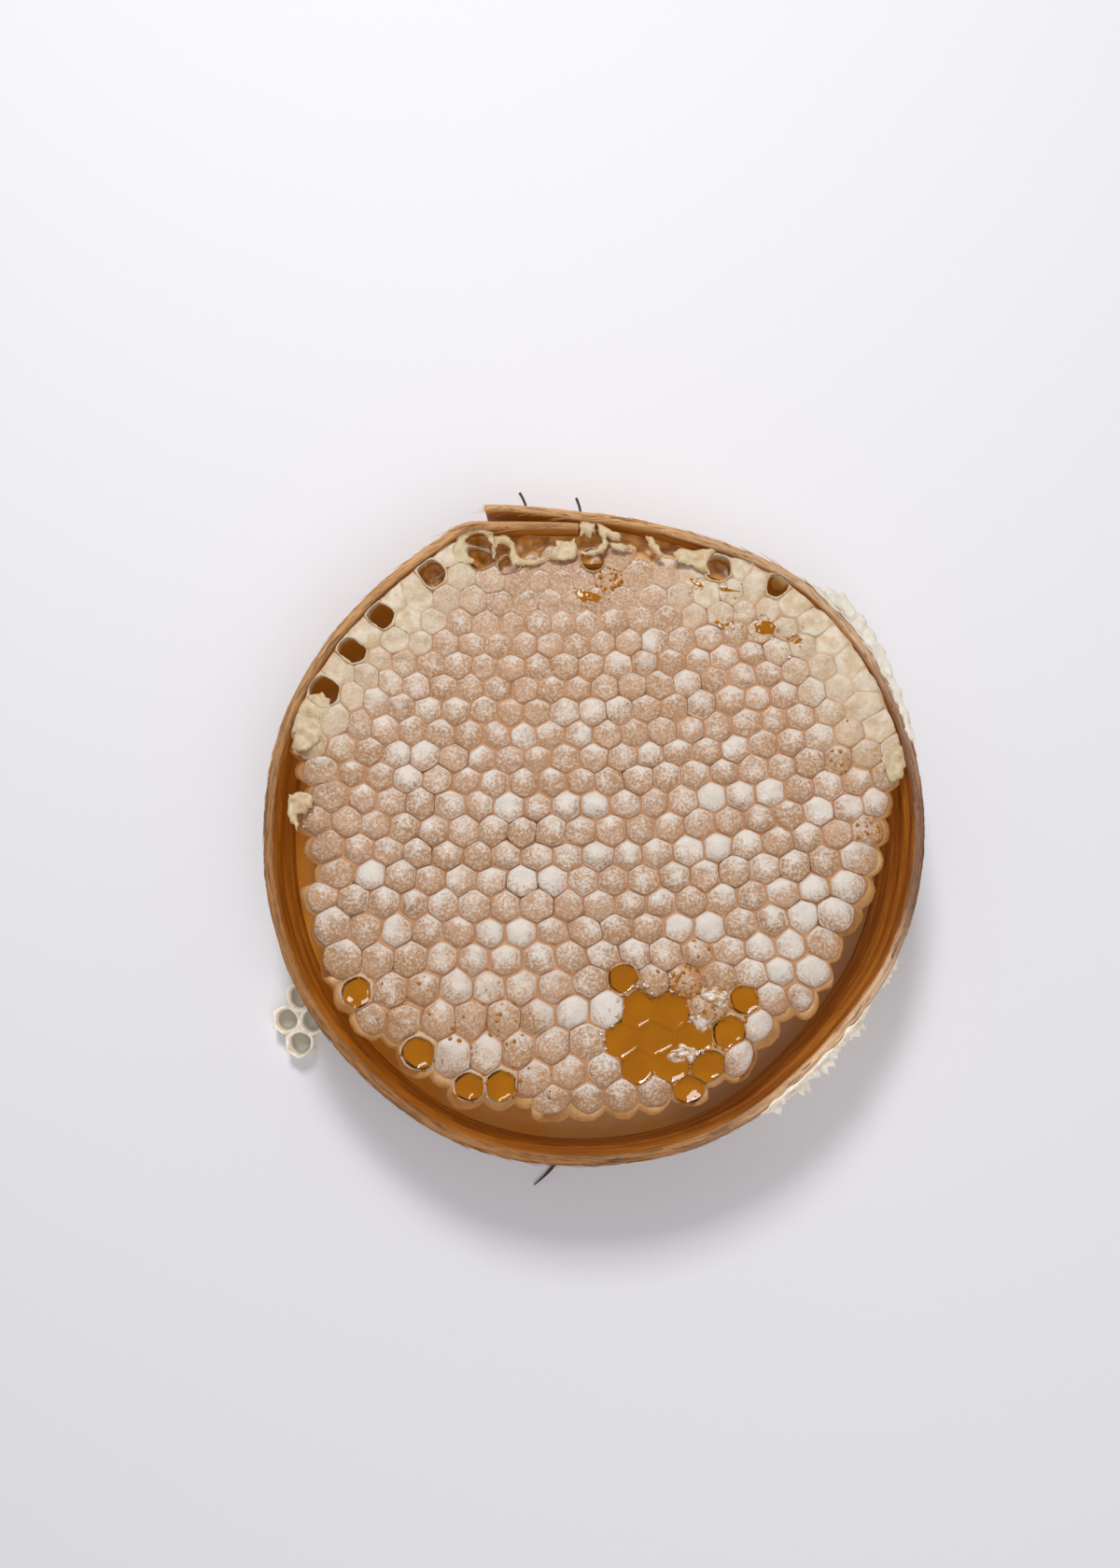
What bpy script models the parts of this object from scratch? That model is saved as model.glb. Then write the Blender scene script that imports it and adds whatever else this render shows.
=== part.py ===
"""Comb honey: a slab of capped honeycomb that bees built inside a hoop of bent wood.

Metres, +Z up. The hoop stands on its lower edge at z = 0, its lapped ends at the back (+Y).
The origin is under the middle of the whole part's footprint.
"""

import math

import bmesh
import bpy
import numpy as np
from mathutils import Matrix

MM = 0.001

# The hoop's centre, as seen from the middle of the footprint.
CENTRE_X = 0.74 * MM
CENTRE_Y = 2.58 * MM
GAP = 0.3 * MM  # between pieces that touch

# Hoop: one wood strip wound a little over a turn, from its outer end clockwise to its inner end.
HOOP_HEIGHT = 28 * MM
HEIGHT_WAVE = 0.25 * MM
STRIP_THICKNESS = 2.3 * MM
END_THINNING = 0.4 * MM  # the strip is pared down over its last degrees
END_ARC = 18
EDGE_CHAMFER = 0.35 * MM
STRIP_STEP = 4  # degrees between sections
OUTER_END = 108
INNER_END = -268
# Unwound angle in degrees, and the outer radius in millimetres: the bent strip isn't quite round.
HOOP_SHAPE = (
    (108, 79.4), (100, 76.2), (93, 74.0), (86, 72.9), (78, 72.3), (68, 72.5), (58, 73.8), (48, 75.3),
    (36, 75.7), (24, 75.8), (8, 75.6), (-8, 75.4), (-25, 74.8), (-38, 73.6), (-50, 73.5), (-62, 74.5),
    (-75, 75.2), (-90, 75.5), (-115, 76.7), (-132, 76.1), (-150, 76.1), (-180, 74.9), (-200, 75.1),
    (-225, 74.7), (-240, 75.6), (-248, 76.9), (-252, 75.2), (-256, 73.6), (-262, 72.0), (-268, 71.0),
)
LEAN = 3.2 * MM  # how far the wall's foot stands in on the right-hand side
LEAN_ANGLE = -10
LEAN_SPREAD = 45

# Comb: rows of cells on arcs about a far point behind it, the cells growing with the distance.
FAN_RADIUS = 463 * MM
FAN_X = -10 * MM
CELL_WIDTH = 6.75 * MM  # at the middle of the comb
ROW_SPACING = 0.845  # of the cell's width
FIRST_ROW = -16
LAST_ROW = 14
LAST_COLUMN = 15
ROW_SHIFT = -0.9 * MM
COLUMN_SHIFT = 0.15  # of a cell
JITTER = 0.28 * MM
PATTERN_GIVE = 9 * MM  # how far round an open cell the pattern is drawn to it
CELL_SEED = 7
CAP_LEVEL = 25.7 * MM  # the grooves between caps
CAP_DOME = 0.95 * MM
DOME_SPREAD = 0.25 * MM
RIM_LIFT = 1.3 * MM  # the comb rises to the hoop's rim where it is built onto it
FOOT_LEVEL = 1.7 * MM
FOOT_DOME = 0.7 * MM
EDGE_DROOP = 1.5 * MM
WAIST_LEVEL = 13.5 * MM
WAIST_BULGE = 0.7 * MM
FOOT_TUCK = 0.6 * MM
EDGE_EVENING = 0.35  # how much of its own raggedness the free edge keeps
EDGE_NOTCH = 0.7 * MM
# Arcs in degrees where the comb is built onto the hoop.
ATTACHED = ((14, 66), (113, 163))
# Elsewhere its free edge: angle in degrees, radius in millimetres.
COMB_SHAPE = (
    (-197, 72.3), (-191, 68.0), (-183, 66.6), (-172, 64.9), (-163, 67.5), (-143, 69.2), (-130, 67.6),
    (-114, 67.0), (-101, 63.8), (-88, 63.4), (-74, 64.2), (-60, 63.8), (-49, 60.6), (-34, 64.3),
    (-25, 62.4), (-8, 66.0), (4, 67.8), (14, 72.0), (66, 69.0), (74, 66.2), (90, 65.4), (97, 66.4),
    (104, 64.8), (113, 68.0), (163, 72.3),
)

# Open cells, in millimetres from the hoop's centre.
CELL_WALL = 0.6 * MM
HONEY_CLEARANCE = 0.4 * MM  # measured at a cell's corners, so a little less at its sides
EMPTY_DEPTH = 9 * MM
EMPTY_CELLS = (
    (-25.4, 64.2), (-18.6, 62.4), (-36.4, 58.8), (-47.6, 48.6), (-54.3, 40.6), (-60.2, 32.4),
    (0.2, 62.6), (30.0, 59.6), (42.6, 54.6),
)
HONEY_DEPTH = 4 * MM
HONEY_BELOW_RIM = 0.8 * MM
HONEY_CELLS = (
    (-52.9, -38.0), (-39.0, -50.6), (-27.6, -58.6), (-20.7, -58.6), (21.2, -58.7), (7.9, -34.1),
    (34.5, -38.6), (31.8, -46.3), (26.3, -54.5),
)
# Capped cells at the comb's corner that the pattern is drawn to as well.
PLACED_CAPS = ((37.9, -45.3), (32.5, -52.7))
# The torn patch, where the honey of several cells has run together.
POOL_X = 14.5 * MM
POOL_Y = -45.5 * MM
POOL_RADIUS = 9.6 * MM
POOL_DEPTH = 3.4 * MM
POOL_BELOW_CAPS = 0.7 * MM

# Wax that the bees built on the outside of the hoop.
CRUST_STEP = 1.6  # degrees between the sections of a crust
BURR_CELL = 6.4 * MM
BURR_WALL = 0.8 * MM
BURR_HEIGHT = 4.2 * MM
BURR_BASE = 0.7 * MM
# Row and column of each cell of the scrap of comb at the hoop's foot.
BURR_CELLS = ((0, 0), (1, 0), (0, 1), (1, 1))
BURR_X = -70.6 * MM
BURR_Y = -44.6 * MM
BURR_TURN = 60

# Fixings through the lap, and a sliver of wood at the foot.
NAIL_RADIUS = 0.32 * MM
NAIL_REACH = 3.6 * MM
NAIL_LEVEL = 24 * MM
NAIL_ANGLES = (101, 91.5)
NAIL_BEND = 0.9 * MM
SPLINTER_START = (-7.6, -77.0)
SPLINTER_END = (-14.4, -84.2)
SPLINTER_WIDTH = 1.1 * MM
SPLINTER_THICKNESS = 0.8 * MM
SPLINTER_LEVEL = 0.8 * MM


def clear_scene():
    for item in list(bpy.data.objects):
        bpy.data.objects.remove(item, do_unlink=True)


def make_material(name, colour, roughness, metallic=0.0):
    material = bpy.data.materials.new(name)
    material.use_nodes = True
    shader = material.node_tree.nodes["Principled BSDF"]
    shader.inputs["Base Color"].default_value = (*colour, 1)
    shader.inputs["Roughness"].default_value = roughness
    shader.inputs["Metallic"].default_value = metallic
    return material


def make_object(name, shape, material, smooth_angle=None):
    """Closes off a bmesh as a named object whose faces point out."""
    bmesh.ops.recalc_face_normals(shape, faces=shape.faces)
    mesh = bpy.data.meshes.new(name)
    shape.to_mesh(mesh)
    shape.free()
    mesh.transform(Matrix.Translation((CENTRE_X, CENTRE_Y, 0)))
    mesh.materials.append(material)
    if smooth_angle:
        mesh.shade_smooth()
        mesh.set_sharp_from_angle(angle=math.radians(smooth_angle))
    made = bpy.data.objects.new(name, mesh)
    bpy.context.scene.collection.objects.link(made)
    return made


def polar(radius, degrees, z):
    turn = math.radians(degrees)
    return (radius * math.cos(turn), radius * math.sin(turn), z)


def wrapped(degrees):
    """The same direction, between -180 and 180 degrees."""
    return (degrees + 180) % 360 - 180


def smooth_step(value):
    value = min(max(value, 0.0), 1.0)
    return value * value * (3 - 2 * value)


def read_table(table, angle):
    """A smooth curve through a table of angles and millimetres, read at one angle."""
    rows = sorted(table)
    angles = [row[0] for row in rows]
    values = [row[1] * MM for row in rows]
    last = len(rows) - 1
    k = min(max(int(np.searchsorted(angles, angle)) - 1, 0), last - 1)

    def slope(i):
        low = max(i - 1, 0)
        high = min(i + 1, last)
        return (values[high] - values[low]) / (angles[high] - angles[low])

    width = angles[k + 1] - angles[k]
    t = min(max((angle - angles[k]) / width, 0.0), 1.0)
    start = values[k] * (1 + 2 * t) + slope(k) * width * t
    end = values[k + 1] * (3 - 2 * t) - slope(k + 1) * width * (1 - t)
    return start * (1 - t) ** 2 + end * t**2


# The hoop


def wall_lean(degrees, z):
    """How far the wall stands in at a height, against its place at the rim."""
    away = wrapped(degrees - LEAN_ANGLE) / LEAN_SPREAD
    return LEAN * math.exp(-away * away) * (1 - z / HOOP_HEIGHT)


def strip_thickness(unwound):
    to_end = min(OUTER_END - unwound, unwound - INNER_END)
    return STRIP_THICKNESS - END_THINNING * (1 - smooth_step(to_end / END_ARC))


def unwound_inside(degrees):
    """The unwound angle of the strip's innermost layer in a direction."""
    angle = wrapped(degrees)
    return angle - 360 if angle - 360 >= INNER_END else angle


def inner_wall(degrees, z):
    unwound = unwound_inside(degrees)
    outside = read_table(HOOP_SHAPE, unwound) - wall_lean(degrees, z)
    return outside - strip_thickness(unwound)


def outer_wall(degrees, z):
    """The outer face of the strip's outermost layer in a direction."""
    angle = wrapped(degrees)
    unwound = angle if angle <= OUTER_END else angle - 360
    return read_table(HOOP_SHAPE, unwound) - wall_lean(degrees, z)


def build_hoop(wood):
    shape = bmesh.new()
    rings = []
    for unwound in range(OUTER_END, INNER_END - 1, -STRIP_STEP):
        turn = math.radians(unwound)
        top = HOOP_HEIGHT + HEIGHT_WAVE * math.sin(3 * turn + 0.6)
        rim = read_table(HOOP_SHAPE, unwound)
        foot = rim - wall_lean(unwound, 0)
        thickness = strip_thickness(unwound)
        c = EDGE_CHAMFER
        section = (
            (foot - c, 0), (foot, c), (rim, top - c), (rim - c, top),
            (rim - thickness + c, top), (rim - thickness, top - c),
            (foot - thickness, c), (foot - thickness + c, 0),
        )
        rings.append([shape.verts.new(polar(radius, unwound, z)) for radius, z in section])
    for first, second in zip(rings, rings[1:]):
        skin(shape, first, second)
    shape.faces.new(rings[0])
    shape.faces.new(reversed(rings[-1]))
    return make_object("hoop", shape, wood, smooth_angle=35)


def skin(shape, first, second):
    """Faces between two rings of as many points."""
    count = len(first)
    for i in range(count):
        j = (i + 1) % count
        shape.faces.new((first[i], first[j], second[j], second[i]))


# The comb's cells


def cell_centres():
    """Where each cell of the pattern stands, by row and column, open cells at their own places."""
    rng = np.random.default_rng(CELL_SEED)
    step = CELL_WIDTH / FAN_RADIUS
    centres = {}
    for row in range(FIRST_ROW, LAST_ROW + 1):
        radius = FAN_RADIUS * (1 + ROW_SPACING * step) ** row
        for column in range(-LAST_COLUMN, LAST_COLUMN + 1):
            turn = step * (column + 0.5 * (row % 2) + COLUMN_SHIFT)
            nudge = rng.normal(0, JITTER, 2)
            x = FAN_X + radius * math.sin(turn) + nudge[0]
            y = ROW_SHIFT + FAN_RADIUS - radius * math.cos(turn) + nudge[1]
            centres[row, column] = (x, y)
    places = [(x * MM, y * MM) for x, y in EMPTY_CELLS + HONEY_CELLS + PLACED_CAPS]
    kinds = ["empty"] * len(EMPTY_CELLS) + ["honey"] * len(HONEY_CELLS)
    kinds += ["capped"] * len(PLACED_CAPS)
    placed = {}
    for place, kind in zip(places, kinds):
        free = (key for key in centres if key not in placed)
        nearest = min(free, key=lambda key: math.dist(centres[key], place))
        placed[nearest] = kind
        draw_pattern(centres, nearest, place)
    for place, cell in zip(places, placed):
        draw_pattern(centres, cell, place)
    opened = {cell: kind for cell, kind in placed.items() if kind != "capped"}
    return centres, opened


def draw_pattern(centres, cell, place):
    """Moves one cell to its place, and draws the cells round it along."""
    from_x, from_y = centres[cell]
    for key, (x, y) in centres.items():
        pull = math.exp(-(((x - from_x) ** 2 + (y - from_y) ** 2) / PATTERN_GIVE**2))
        centres[key] = (x + (place[0] - from_x) * pull, y + (place[1] - from_y) * pull)


def neighbours(cell):
    """The six cells round a cell, counter-clockwise from the right."""
    row, column = cell
    side = row % 2
    above = row - 1
    below = row + 1
    return (
        (row, column + 1), (above, column + side), (above, column + side - 1),
        (row, column - 1), (below, column + side - 1), (below, column + side),
    )


def is_attached(degrees):
    return any(low <= degrees <= high for low, high in ATTACHED)


def edge_radius(degrees, z):
    """How far out the comb goes in a direction, at a height."""
    wall = inner_wall(degrees, z) - GAP
    if is_attached(degrees):
        return wall
    last = COMB_SHAPE[-1][0]
    return min(read_table(COMB_SHAPE, degrees if degrees <= last else degrees - 360), wall)


def direction(x, y):
    return math.degrees(math.atan2(y, x))


def choose_cells(centres):
    kept = set()
    for key, (x, y) in centres.items():
        reach = edge_radius(direction(x, y), CAP_LEVEL)
        if math.hypot(x, y) < reach - 0.15 * CELL_WIDTH:
            kept.add(key)
    for key in list(kept):  # a cell held by one side only would stick out like a finger
        if sum(other in kept for other in neighbours(key)) < 2:
            kept.discard(key)
    return kept


def corner_keys(cell):
    """Each corner of a cell, named by the three cells that meet there."""
    around = neighbours(cell)
    return [frozenset((cell, around[i], around[(i + 1) % 6])) for i in range(6)]


def corner_places(centres, kept):
    """Angle, radius and height of each corner, those of the edge drawn to the comb's outline."""
    places = {}
    border = {}
    for cell in sorted(kept):
        for key in corner_keys(cell):
            if key in places:
                continue
            x = sum(centres[c][0] for c in key) / 3
            y = sum(centres[c][1] for c in key) / 3
            inside = sum(c in kept for c in key)
            angle = direction(x, y)
            limit = edge_radius(angle, CAP_LEVEL)
            radius = min(math.hypot(x, y), limit - EDGE_NOTCH)
            if inside < 3:
                border[key] = is_attached(angle)
                if border[key]:
                    radius = limit
                else:
                    notch = EDGE_NOTCH if inside == 2 else -0.5 * EDGE_NOTCH
                    radius = limit + EDGE_EVENING * (math.hypot(x, y) - limit) - notch
                    radius = min(radius, inner_wall(angle, CAP_LEVEL) - GAP)
            free = key in border and not border[key]
            z = level_at(angle, radius) - (EDGE_DROOP if free else 0)
            places[key] = (angle, radius, z)
    return places, border


def level_at(angle, radius):
    """Height of the grooves: the comb climbs to the rim where it is built onto the hoop."""
    near = 0.0
    for low, high in ATTACHED:
        into = min(angle - low, high - angle)
        near = max(near, smooth_step((into + 8) / 16))
    return CAP_LEVEL + RIM_LIFT * near * smooth_step((radius - 52 * MM) / (20 * MM))


def pool_cells(centres, kept, opened):
    found = []
    for key in sorted(kept):
        if key not in opened and math.dist(centres[key], (POOL_X, POOL_Y)) < POOL_RADIUS:
            found.append(key)
    return found


def build_comb(wax, centres, opened, kept):
    """One slab: capped cells on both faces, the open cells sunk into the upper one."""
    places, border = corner_places(centres, kept)
    rng = np.random.default_rng(CELL_SEED + 1)
    shape = bmesh.new()
    upper = {}
    lower = {}
    waist = {}
    for key, (angle, radius, z) in places.items():
        free = key in border and not border[key]
        upper[key] = shape.verts.new(polar(radius, angle, z))
        at_foot = min(radius - (FOOT_TUCK if free else 0), inner_wall(angle, FOOT_LEVEL) - GAP)
        lower[key] = shape.verts.new(polar(at_foot, angle, FOOT_LEVEL))
        if key in border:
            at_waist = radius + (WAIST_BULGE if free else 0)
            at_waist = min(at_waist, inner_wall(angle, WAIST_LEVEL) - GAP)
            waist[key] = shape.verts.new(polar(at_waist, angle, WAIST_LEVEL))
    faces = {}
    under = []
    for cell in sorted(kept):
        keys = corner_keys(cell)
        faces[cell] = shape.faces.new([upper[key] for key in keys])
        under.append(shape.faces.new([lower[key] for key in reversed(keys)]))
        around = neighbours(cell)
        for i in range(6):
            if around[i] in kept:
                continue
            a, b = keys[i - 1], keys[i]
            shape.faces.new((upper[b], upper[a], waist[a], waist[b]))
            shape.faces.new((waist[b], waist[a], lower[a], lower[b]))
    shape.normal_update()
    patch = pool_cells(centres, kept, opened)
    sink_cells(shape, [faces.pop(cell) for cell in patch], POOL_DEPTH)
    for cell, kind in opened.items():
        depth = EMPTY_DEPTH if kind == "empty" else HONEY_DEPTH
        sink_cells(shape, [faces.pop(cell)], depth)
    for face in faces.values():
        height = CAP_DOME + DOME_SPREAD * rng.uniform(-1, 1)
        bmesh.ops.poke(shape, faces=[face], offset=height)
    bmesh.ops.poke(shape, faces=under, offset=FOOT_DOME)
    return make_object("comb", shape, wax, smooth_angle=50)


def sink_cells(shape, region, depth):
    """Leaves a wall round a group of cells and sinks their inside to a level floor."""
    floor_level = lowest(region) - depth
    bmesh.ops.inset_region(shape, faces=region, thickness=CELL_WALL)
    moved = bmesh.ops.extrude_face_region(shape, geom=region)["geom"]
    bmesh.ops.delete(shape, geom=region, context="FACES")
    for item in moved:
        if isinstance(item, bmesh.types.BMVert):
            item.co.z = floor_level


def lowest(region):
    return min(vert.co.z for face in region for vert in face.verts)


# The honey that shows


def fill_cells(name, honey, centres, kept, cells, below_rim, depth):
    """Honey in a group of cells: level on top, and clear of the cells' walls and floor."""
    places, _ = corner_places(centres, kept)
    shape = bmesh.new()
    points = {}
    region = []
    for cell in cells:
        keys = corner_keys(cell)
        for key in keys:
            if key not in points:
                angle, radius, z = places[key]
                points[key] = shape.verts.new(polar(radius, angle, z))
        region.append(shape.faces.new([points[key] for key in keys]))
    shape.normal_update()
    brim = lowest(region)
    margin = CELL_WALL + HONEY_CLEARANCE
    ring = bmesh.ops.inset_region(shape, faces=region, thickness=margin, use_boundary=True)
    bmesh.ops.delete(shape, geom=ring["faces"], context="FACES")
    for vert in shape.verts:
        vert.co.z = brim - below_rim
    moved = bmesh.ops.extrude_face_region(shape, geom=region)["geom"]
    for item in moved:
        if isinstance(item, bmesh.types.BMVert):
            item.co.z = brim - depth + GAP
    make_object(name, shape, honey, smooth_angle=40)


def build_honey(honey, centres, opened, kept):
    patch = pool_cells(centres, kept, opened)
    fill_cells("honey_pool", honey, centres, kept, patch, POOL_BELOW_CAPS, POOL_DEPTH)
    wells = [cell for cell, kind in opened.items() if kind == "honey"]
    for number, cell in enumerate(wells, 1):
        name = f"honey_cell_{number}"
        fill_cells(name, honey, centres, kept, [cell], HONEY_BELOW_RIM, HONEY_DEPTH)


# Wax outside the hoop


def build_crust(name, wax, start, end, low, high, reach, raggedness, seed):
    """A ragged crust on the hoop's outer wall, its teeth leaning out at the top."""
    rng = np.random.default_rng(seed)
    shape = bmesh.new()
    count = max(int(round(abs(end - start) / CRUST_STEP)), 2)
    rings = []
    for i in range(count + 1):
        angle = start + (end - start) * i / count
        swell = 0.35 + 0.65 * math.sin(math.pi * i / count)
        out = reach * swell * (1 - raggedness * rng.random())
        top = high - (high - low) * 0.3 * raggedness * rng.random()
        bottom = low + (high - low) * 0.4 * raggedness * rng.random()
        at_foot = outer_wall(angle, bottom) + GAP
        at_rim = outer_wall(angle, top) + GAP
        section = (
            (at_foot, bottom), (at_foot + 0.45 * out, bottom),
            (at_rim + out, 0.3 * bottom + 0.7 * top), (at_rim + 0.7 * out, top), (at_rim, top),
        )
        rings.append([shape.verts.new(polar(radius, angle, z)) for radius, z in section])
    for first, second in zip(rings, rings[1:]):
        skin(shape, first, second)
    shape.faces.new(rings[0])
    shape.faces.new(reversed(rings[-1]))
    return make_object(name, shape, wax)


def build_burr_comb(wax):
    """A torn scrap of empty comb at the hoop's foot: a lattice of cells open at the top."""
    shape = bmesh.new()
    turn = math.radians(BURR_TURN)
    across = BURR_CELL
    corners = {}
    faces = []
    for row, column in BURR_CELLS:
        cx = across * (column + 0.5 * row)
        cy = across * math.sqrt(0.75) * row
        ring = []
        for i in range(6):
            a = math.radians(60 * i + 30)
            u = cx + across / math.sqrt(3) * math.cos(a)
            v = cy + across / math.sqrt(3) * math.sin(a)
            key = (round(u / MM, 1), round(v / MM, 1))
            if key not in corners:
                x = BURR_X + u * math.cos(turn) - v * math.sin(turn)
                y = BURR_Y + u * math.sin(turn) + v * math.cos(turn)
                clear = outer_wall(direction(x, y), BURR_BASE) + 2 * GAP
                stretch = max(1.0, clear / math.hypot(x, y))
                corners[key] = shape.verts.new((x * stretch, y * stretch, BURR_BASE))
            ring.append(corners[key])
        faces.append(shape.faces.new(ring))
    moved = bmesh.ops.extrude_face_region(shape, geom=faces)["geom"]
    lifted = [item for item in moved if isinstance(item, bmesh.types.BMVert)]
    tops = [item for item in moved if isinstance(item, bmesh.types.BMFace)]
    bmesh.ops.translate(shape, verts=lifted, vec=(0, 0, BURR_HEIGHT))
    shape.normal_update()
    bmesh.ops.inset_individual(shape, faces=tops, thickness=BURR_WALL / 2, use_even_offset=True)
    floors = bmesh.ops.extrude_discrete_faces(shape, faces=tops)["faces"]
    for floor in floors:
        bmesh.ops.translate(shape, verts=floor.verts, vec=(0, 0, -BURR_HEIGHT + BURR_WALL))
    return make_object("burr_comb", shape, wax)


# Small fixings


def build_nail(number, angle, steel):
    """The bent-over tip of a wire nail that sticks out of the lap."""
    curve = bpy.data.curves.new(f"nail_{number}_path", "CURVE")
    curve.dimensions = "3D"
    curve.bevel_depth = NAIL_RADIUS
    curve.bevel_resolution = 2
    curve.use_fill_caps = True
    spline = curve.splines.new("POLY")
    start = outer_wall(angle, NAIL_LEVEL) + GAP
    steps = 6
    spline.points.add(steps)
    for i in range(steps + 1):
        t = i / steps
        x, y, z = polar(start + NAIL_REACH * t, angle, NAIL_LEVEL + NAIL_BEND * t * t)
        x -= NAIL_BEND * t * t
        spline.points[i].co = (x + CENTRE_X, y + CENTRE_Y, z, 1)
    nail = bpy.data.objects.new(f"nail_{number}", curve)
    curve.materials.append(steel)
    bpy.context.scene.collection.objects.link(nail)


def build_splinter(bark):
    """A thin sliver that tapers away from the hoop's foot."""
    shape = bmesh.new()
    start = np.array(SPLINTER_START) * MM
    end = np.array(SPLINTER_END) * MM
    along = (end - start) / np.linalg.norm(end - start)
    across = np.array((-along[1], along[0]))
    rings = []
    steps = 5
    for i in range(steps + 1):
        t = i / steps
        middle = start + (end - start) * t + across * 0.5 * MM * math.sin(3 * t)
        wide = SPLINTER_WIDTH * (1 - 0.75 * t) / 2
        thick = SPLINTER_THICKNESS * (1 - 0.6 * t) / 2
        ring = []
        for side, up in ((-1, -0.6), (0, -1), (1, -0.4), (0.6, 1), (-0.7, 0.8)):
            x, y = middle + across * wide * side
            ring.append(shape.verts.new((x, y, SPLINTER_LEVEL + thick * up)))
        rings.append(ring)
    for first, second in zip(rings, rings[1:]):
        skin(shape, first, second)
    shape.faces.new(rings[0])
    shape.faces.new(reversed(rings[-1]))
    return make_object("splinter", shape, bark)


def build_part():
    clear_scene()
    wood = make_material("bent_wood", (0.36, 0.15, 0.05), 0.6)
    wax = make_material("comb_wax", (0.62, 0.42, 0.27), 0.55)
    pale_wax = make_material("burr_wax", (0.70, 0.60, 0.45), 0.6)
    honey = make_material("honey", (0.42, 0.15, 0.01), 0.08)
    steel = make_material("nail_steel", (0.12, 0.11, 0.10), 0.45, 1.0)
    bark = make_material("dark_splinter", (0.06, 0.035, 0.02), 0.8)
    centres, opened = cell_centres()
    kept = choose_cells(centres)
    kept.update(opened)
    build_hoop(wood)
    build_comb(wax, centres, opened, kept)
    build_honey(honey, centres, opened, kept)
    build_crust("burr_wax_upper", pale_wax, 49, 12, 17 * MM, 28.8 * MM, 2.0 * MM, 0.6, 21)
    build_crust("burr_wax_lower", pale_wax, -33, -60, 13 * MM, 27.5 * MM, 5.0 * MM, 0.7, 22)
    build_crust("burr_flap", pale_wax, -23, -30, 15 * MM, 25 * MM, 6.0 * MM, 0.4, 23)
    build_burr_comb(pale_wax)
    for number, angle in enumerate(NAIL_ANGLES, 1):
        build_nail(number, angle, steel)
    build_splinter(bark)


build_part()
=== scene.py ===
import math

import bmesh
import bpy
import numpy as np
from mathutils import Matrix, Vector, geometry, noise
from mathutils.bvhtree import BVHTree


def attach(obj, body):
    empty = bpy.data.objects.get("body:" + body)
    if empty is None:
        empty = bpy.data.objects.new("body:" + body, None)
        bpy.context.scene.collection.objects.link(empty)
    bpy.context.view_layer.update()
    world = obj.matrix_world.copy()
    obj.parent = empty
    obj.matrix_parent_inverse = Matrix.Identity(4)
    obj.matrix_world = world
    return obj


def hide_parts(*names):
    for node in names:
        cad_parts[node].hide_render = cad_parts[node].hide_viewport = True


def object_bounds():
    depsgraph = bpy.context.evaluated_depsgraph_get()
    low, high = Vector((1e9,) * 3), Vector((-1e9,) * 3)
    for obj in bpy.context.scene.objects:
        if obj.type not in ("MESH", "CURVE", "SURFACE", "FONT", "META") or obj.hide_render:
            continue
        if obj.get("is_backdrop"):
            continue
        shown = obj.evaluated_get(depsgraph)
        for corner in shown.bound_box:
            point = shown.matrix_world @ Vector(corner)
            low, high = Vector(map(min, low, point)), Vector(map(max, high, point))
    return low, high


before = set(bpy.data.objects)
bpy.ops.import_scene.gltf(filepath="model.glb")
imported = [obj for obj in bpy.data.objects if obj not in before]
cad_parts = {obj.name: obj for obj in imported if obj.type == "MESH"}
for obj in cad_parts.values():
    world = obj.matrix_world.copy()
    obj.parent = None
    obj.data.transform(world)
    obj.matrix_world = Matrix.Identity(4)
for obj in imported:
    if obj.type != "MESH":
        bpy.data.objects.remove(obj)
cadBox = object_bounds()
mm = 0.001
hoopCentre = Vector((0.74, 2.58, 0))  # mm, every plan below is measured from here
print("frame loaded", len(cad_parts), "nodes")


def addNode(tree, kind, inputs=None, **settings):
    # inputs go by name or number: a Mix node's are 2 and 3 for floats, 4 and 5 for vectors, and
    # 6 and 7 for colours
    node = tree.nodes.new(kind)
    for key, value in settings.items():
        setattr(node, key, value)
    for socket, value in (inputs or {}).items():
        target = node.inputs[socket]
        if isinstance(value, bpy.types.NodeSocket):
            tree.links.new(value, target)
        else:
            target.default_value = value
    return node


def toLinear(hexColour):
    channels = [int(hexColour[i : i + 2], 16) / 255 for i in (1, 3, 5)]
    return (*[c / 12.92 if c <= 0.04045 else ((c + 0.055) / 1.055) ** 2.4 for c in channels], 1)


def smoothStep(low, high, value):
    t = min(max((value - low) / (high - low), 0.0), 1.0)
    return t * t * (3 - 2 * t)


def lump(x, y, scale, seed=0.0):
    # a soft random height between about -1 and 1
    return noise.noise(Vector((x / scale, y / scale, seed)))


def makePiece(name, verts, faces, material, slot, attributes=None):
    # verts in mm from the hoop's centre
    mesh = bpy.data.meshes.new(name)
    mesh.from_pydata([(Vector(v) + hoopCentre) * mm for v in verts], [], faces)
    for key, (kind, domain, values) in (attributes or {}).items():
        attribute = mesh.attributes.new(key, kind, domain)
        field = {"FLOAT": "value", "INT": "value", "FLOAT_VECTOR": "vector"}[kind]
        whole = kind == "INT"
        attribute.data.foreach_set(field, np.array(values, dtype=int if whole else float).ravel())
    mesh.materials.append(material)
    mesh.shade_smooth()
    piece = bpy.data.objects.new(name, mesh)
    bpy.context.scene.collection.objects.link(piece)
    if slot:
        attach(piece, "root")
    return piece


def pointOutwards(piece):
    shape = bmesh.new()
    shape.from_mesh(piece.data)
    bmesh.ops.recalc_face_normals(shape, faces=shape.faces)
    shape.to_mesh(piece.data)
    shape.free()


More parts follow.
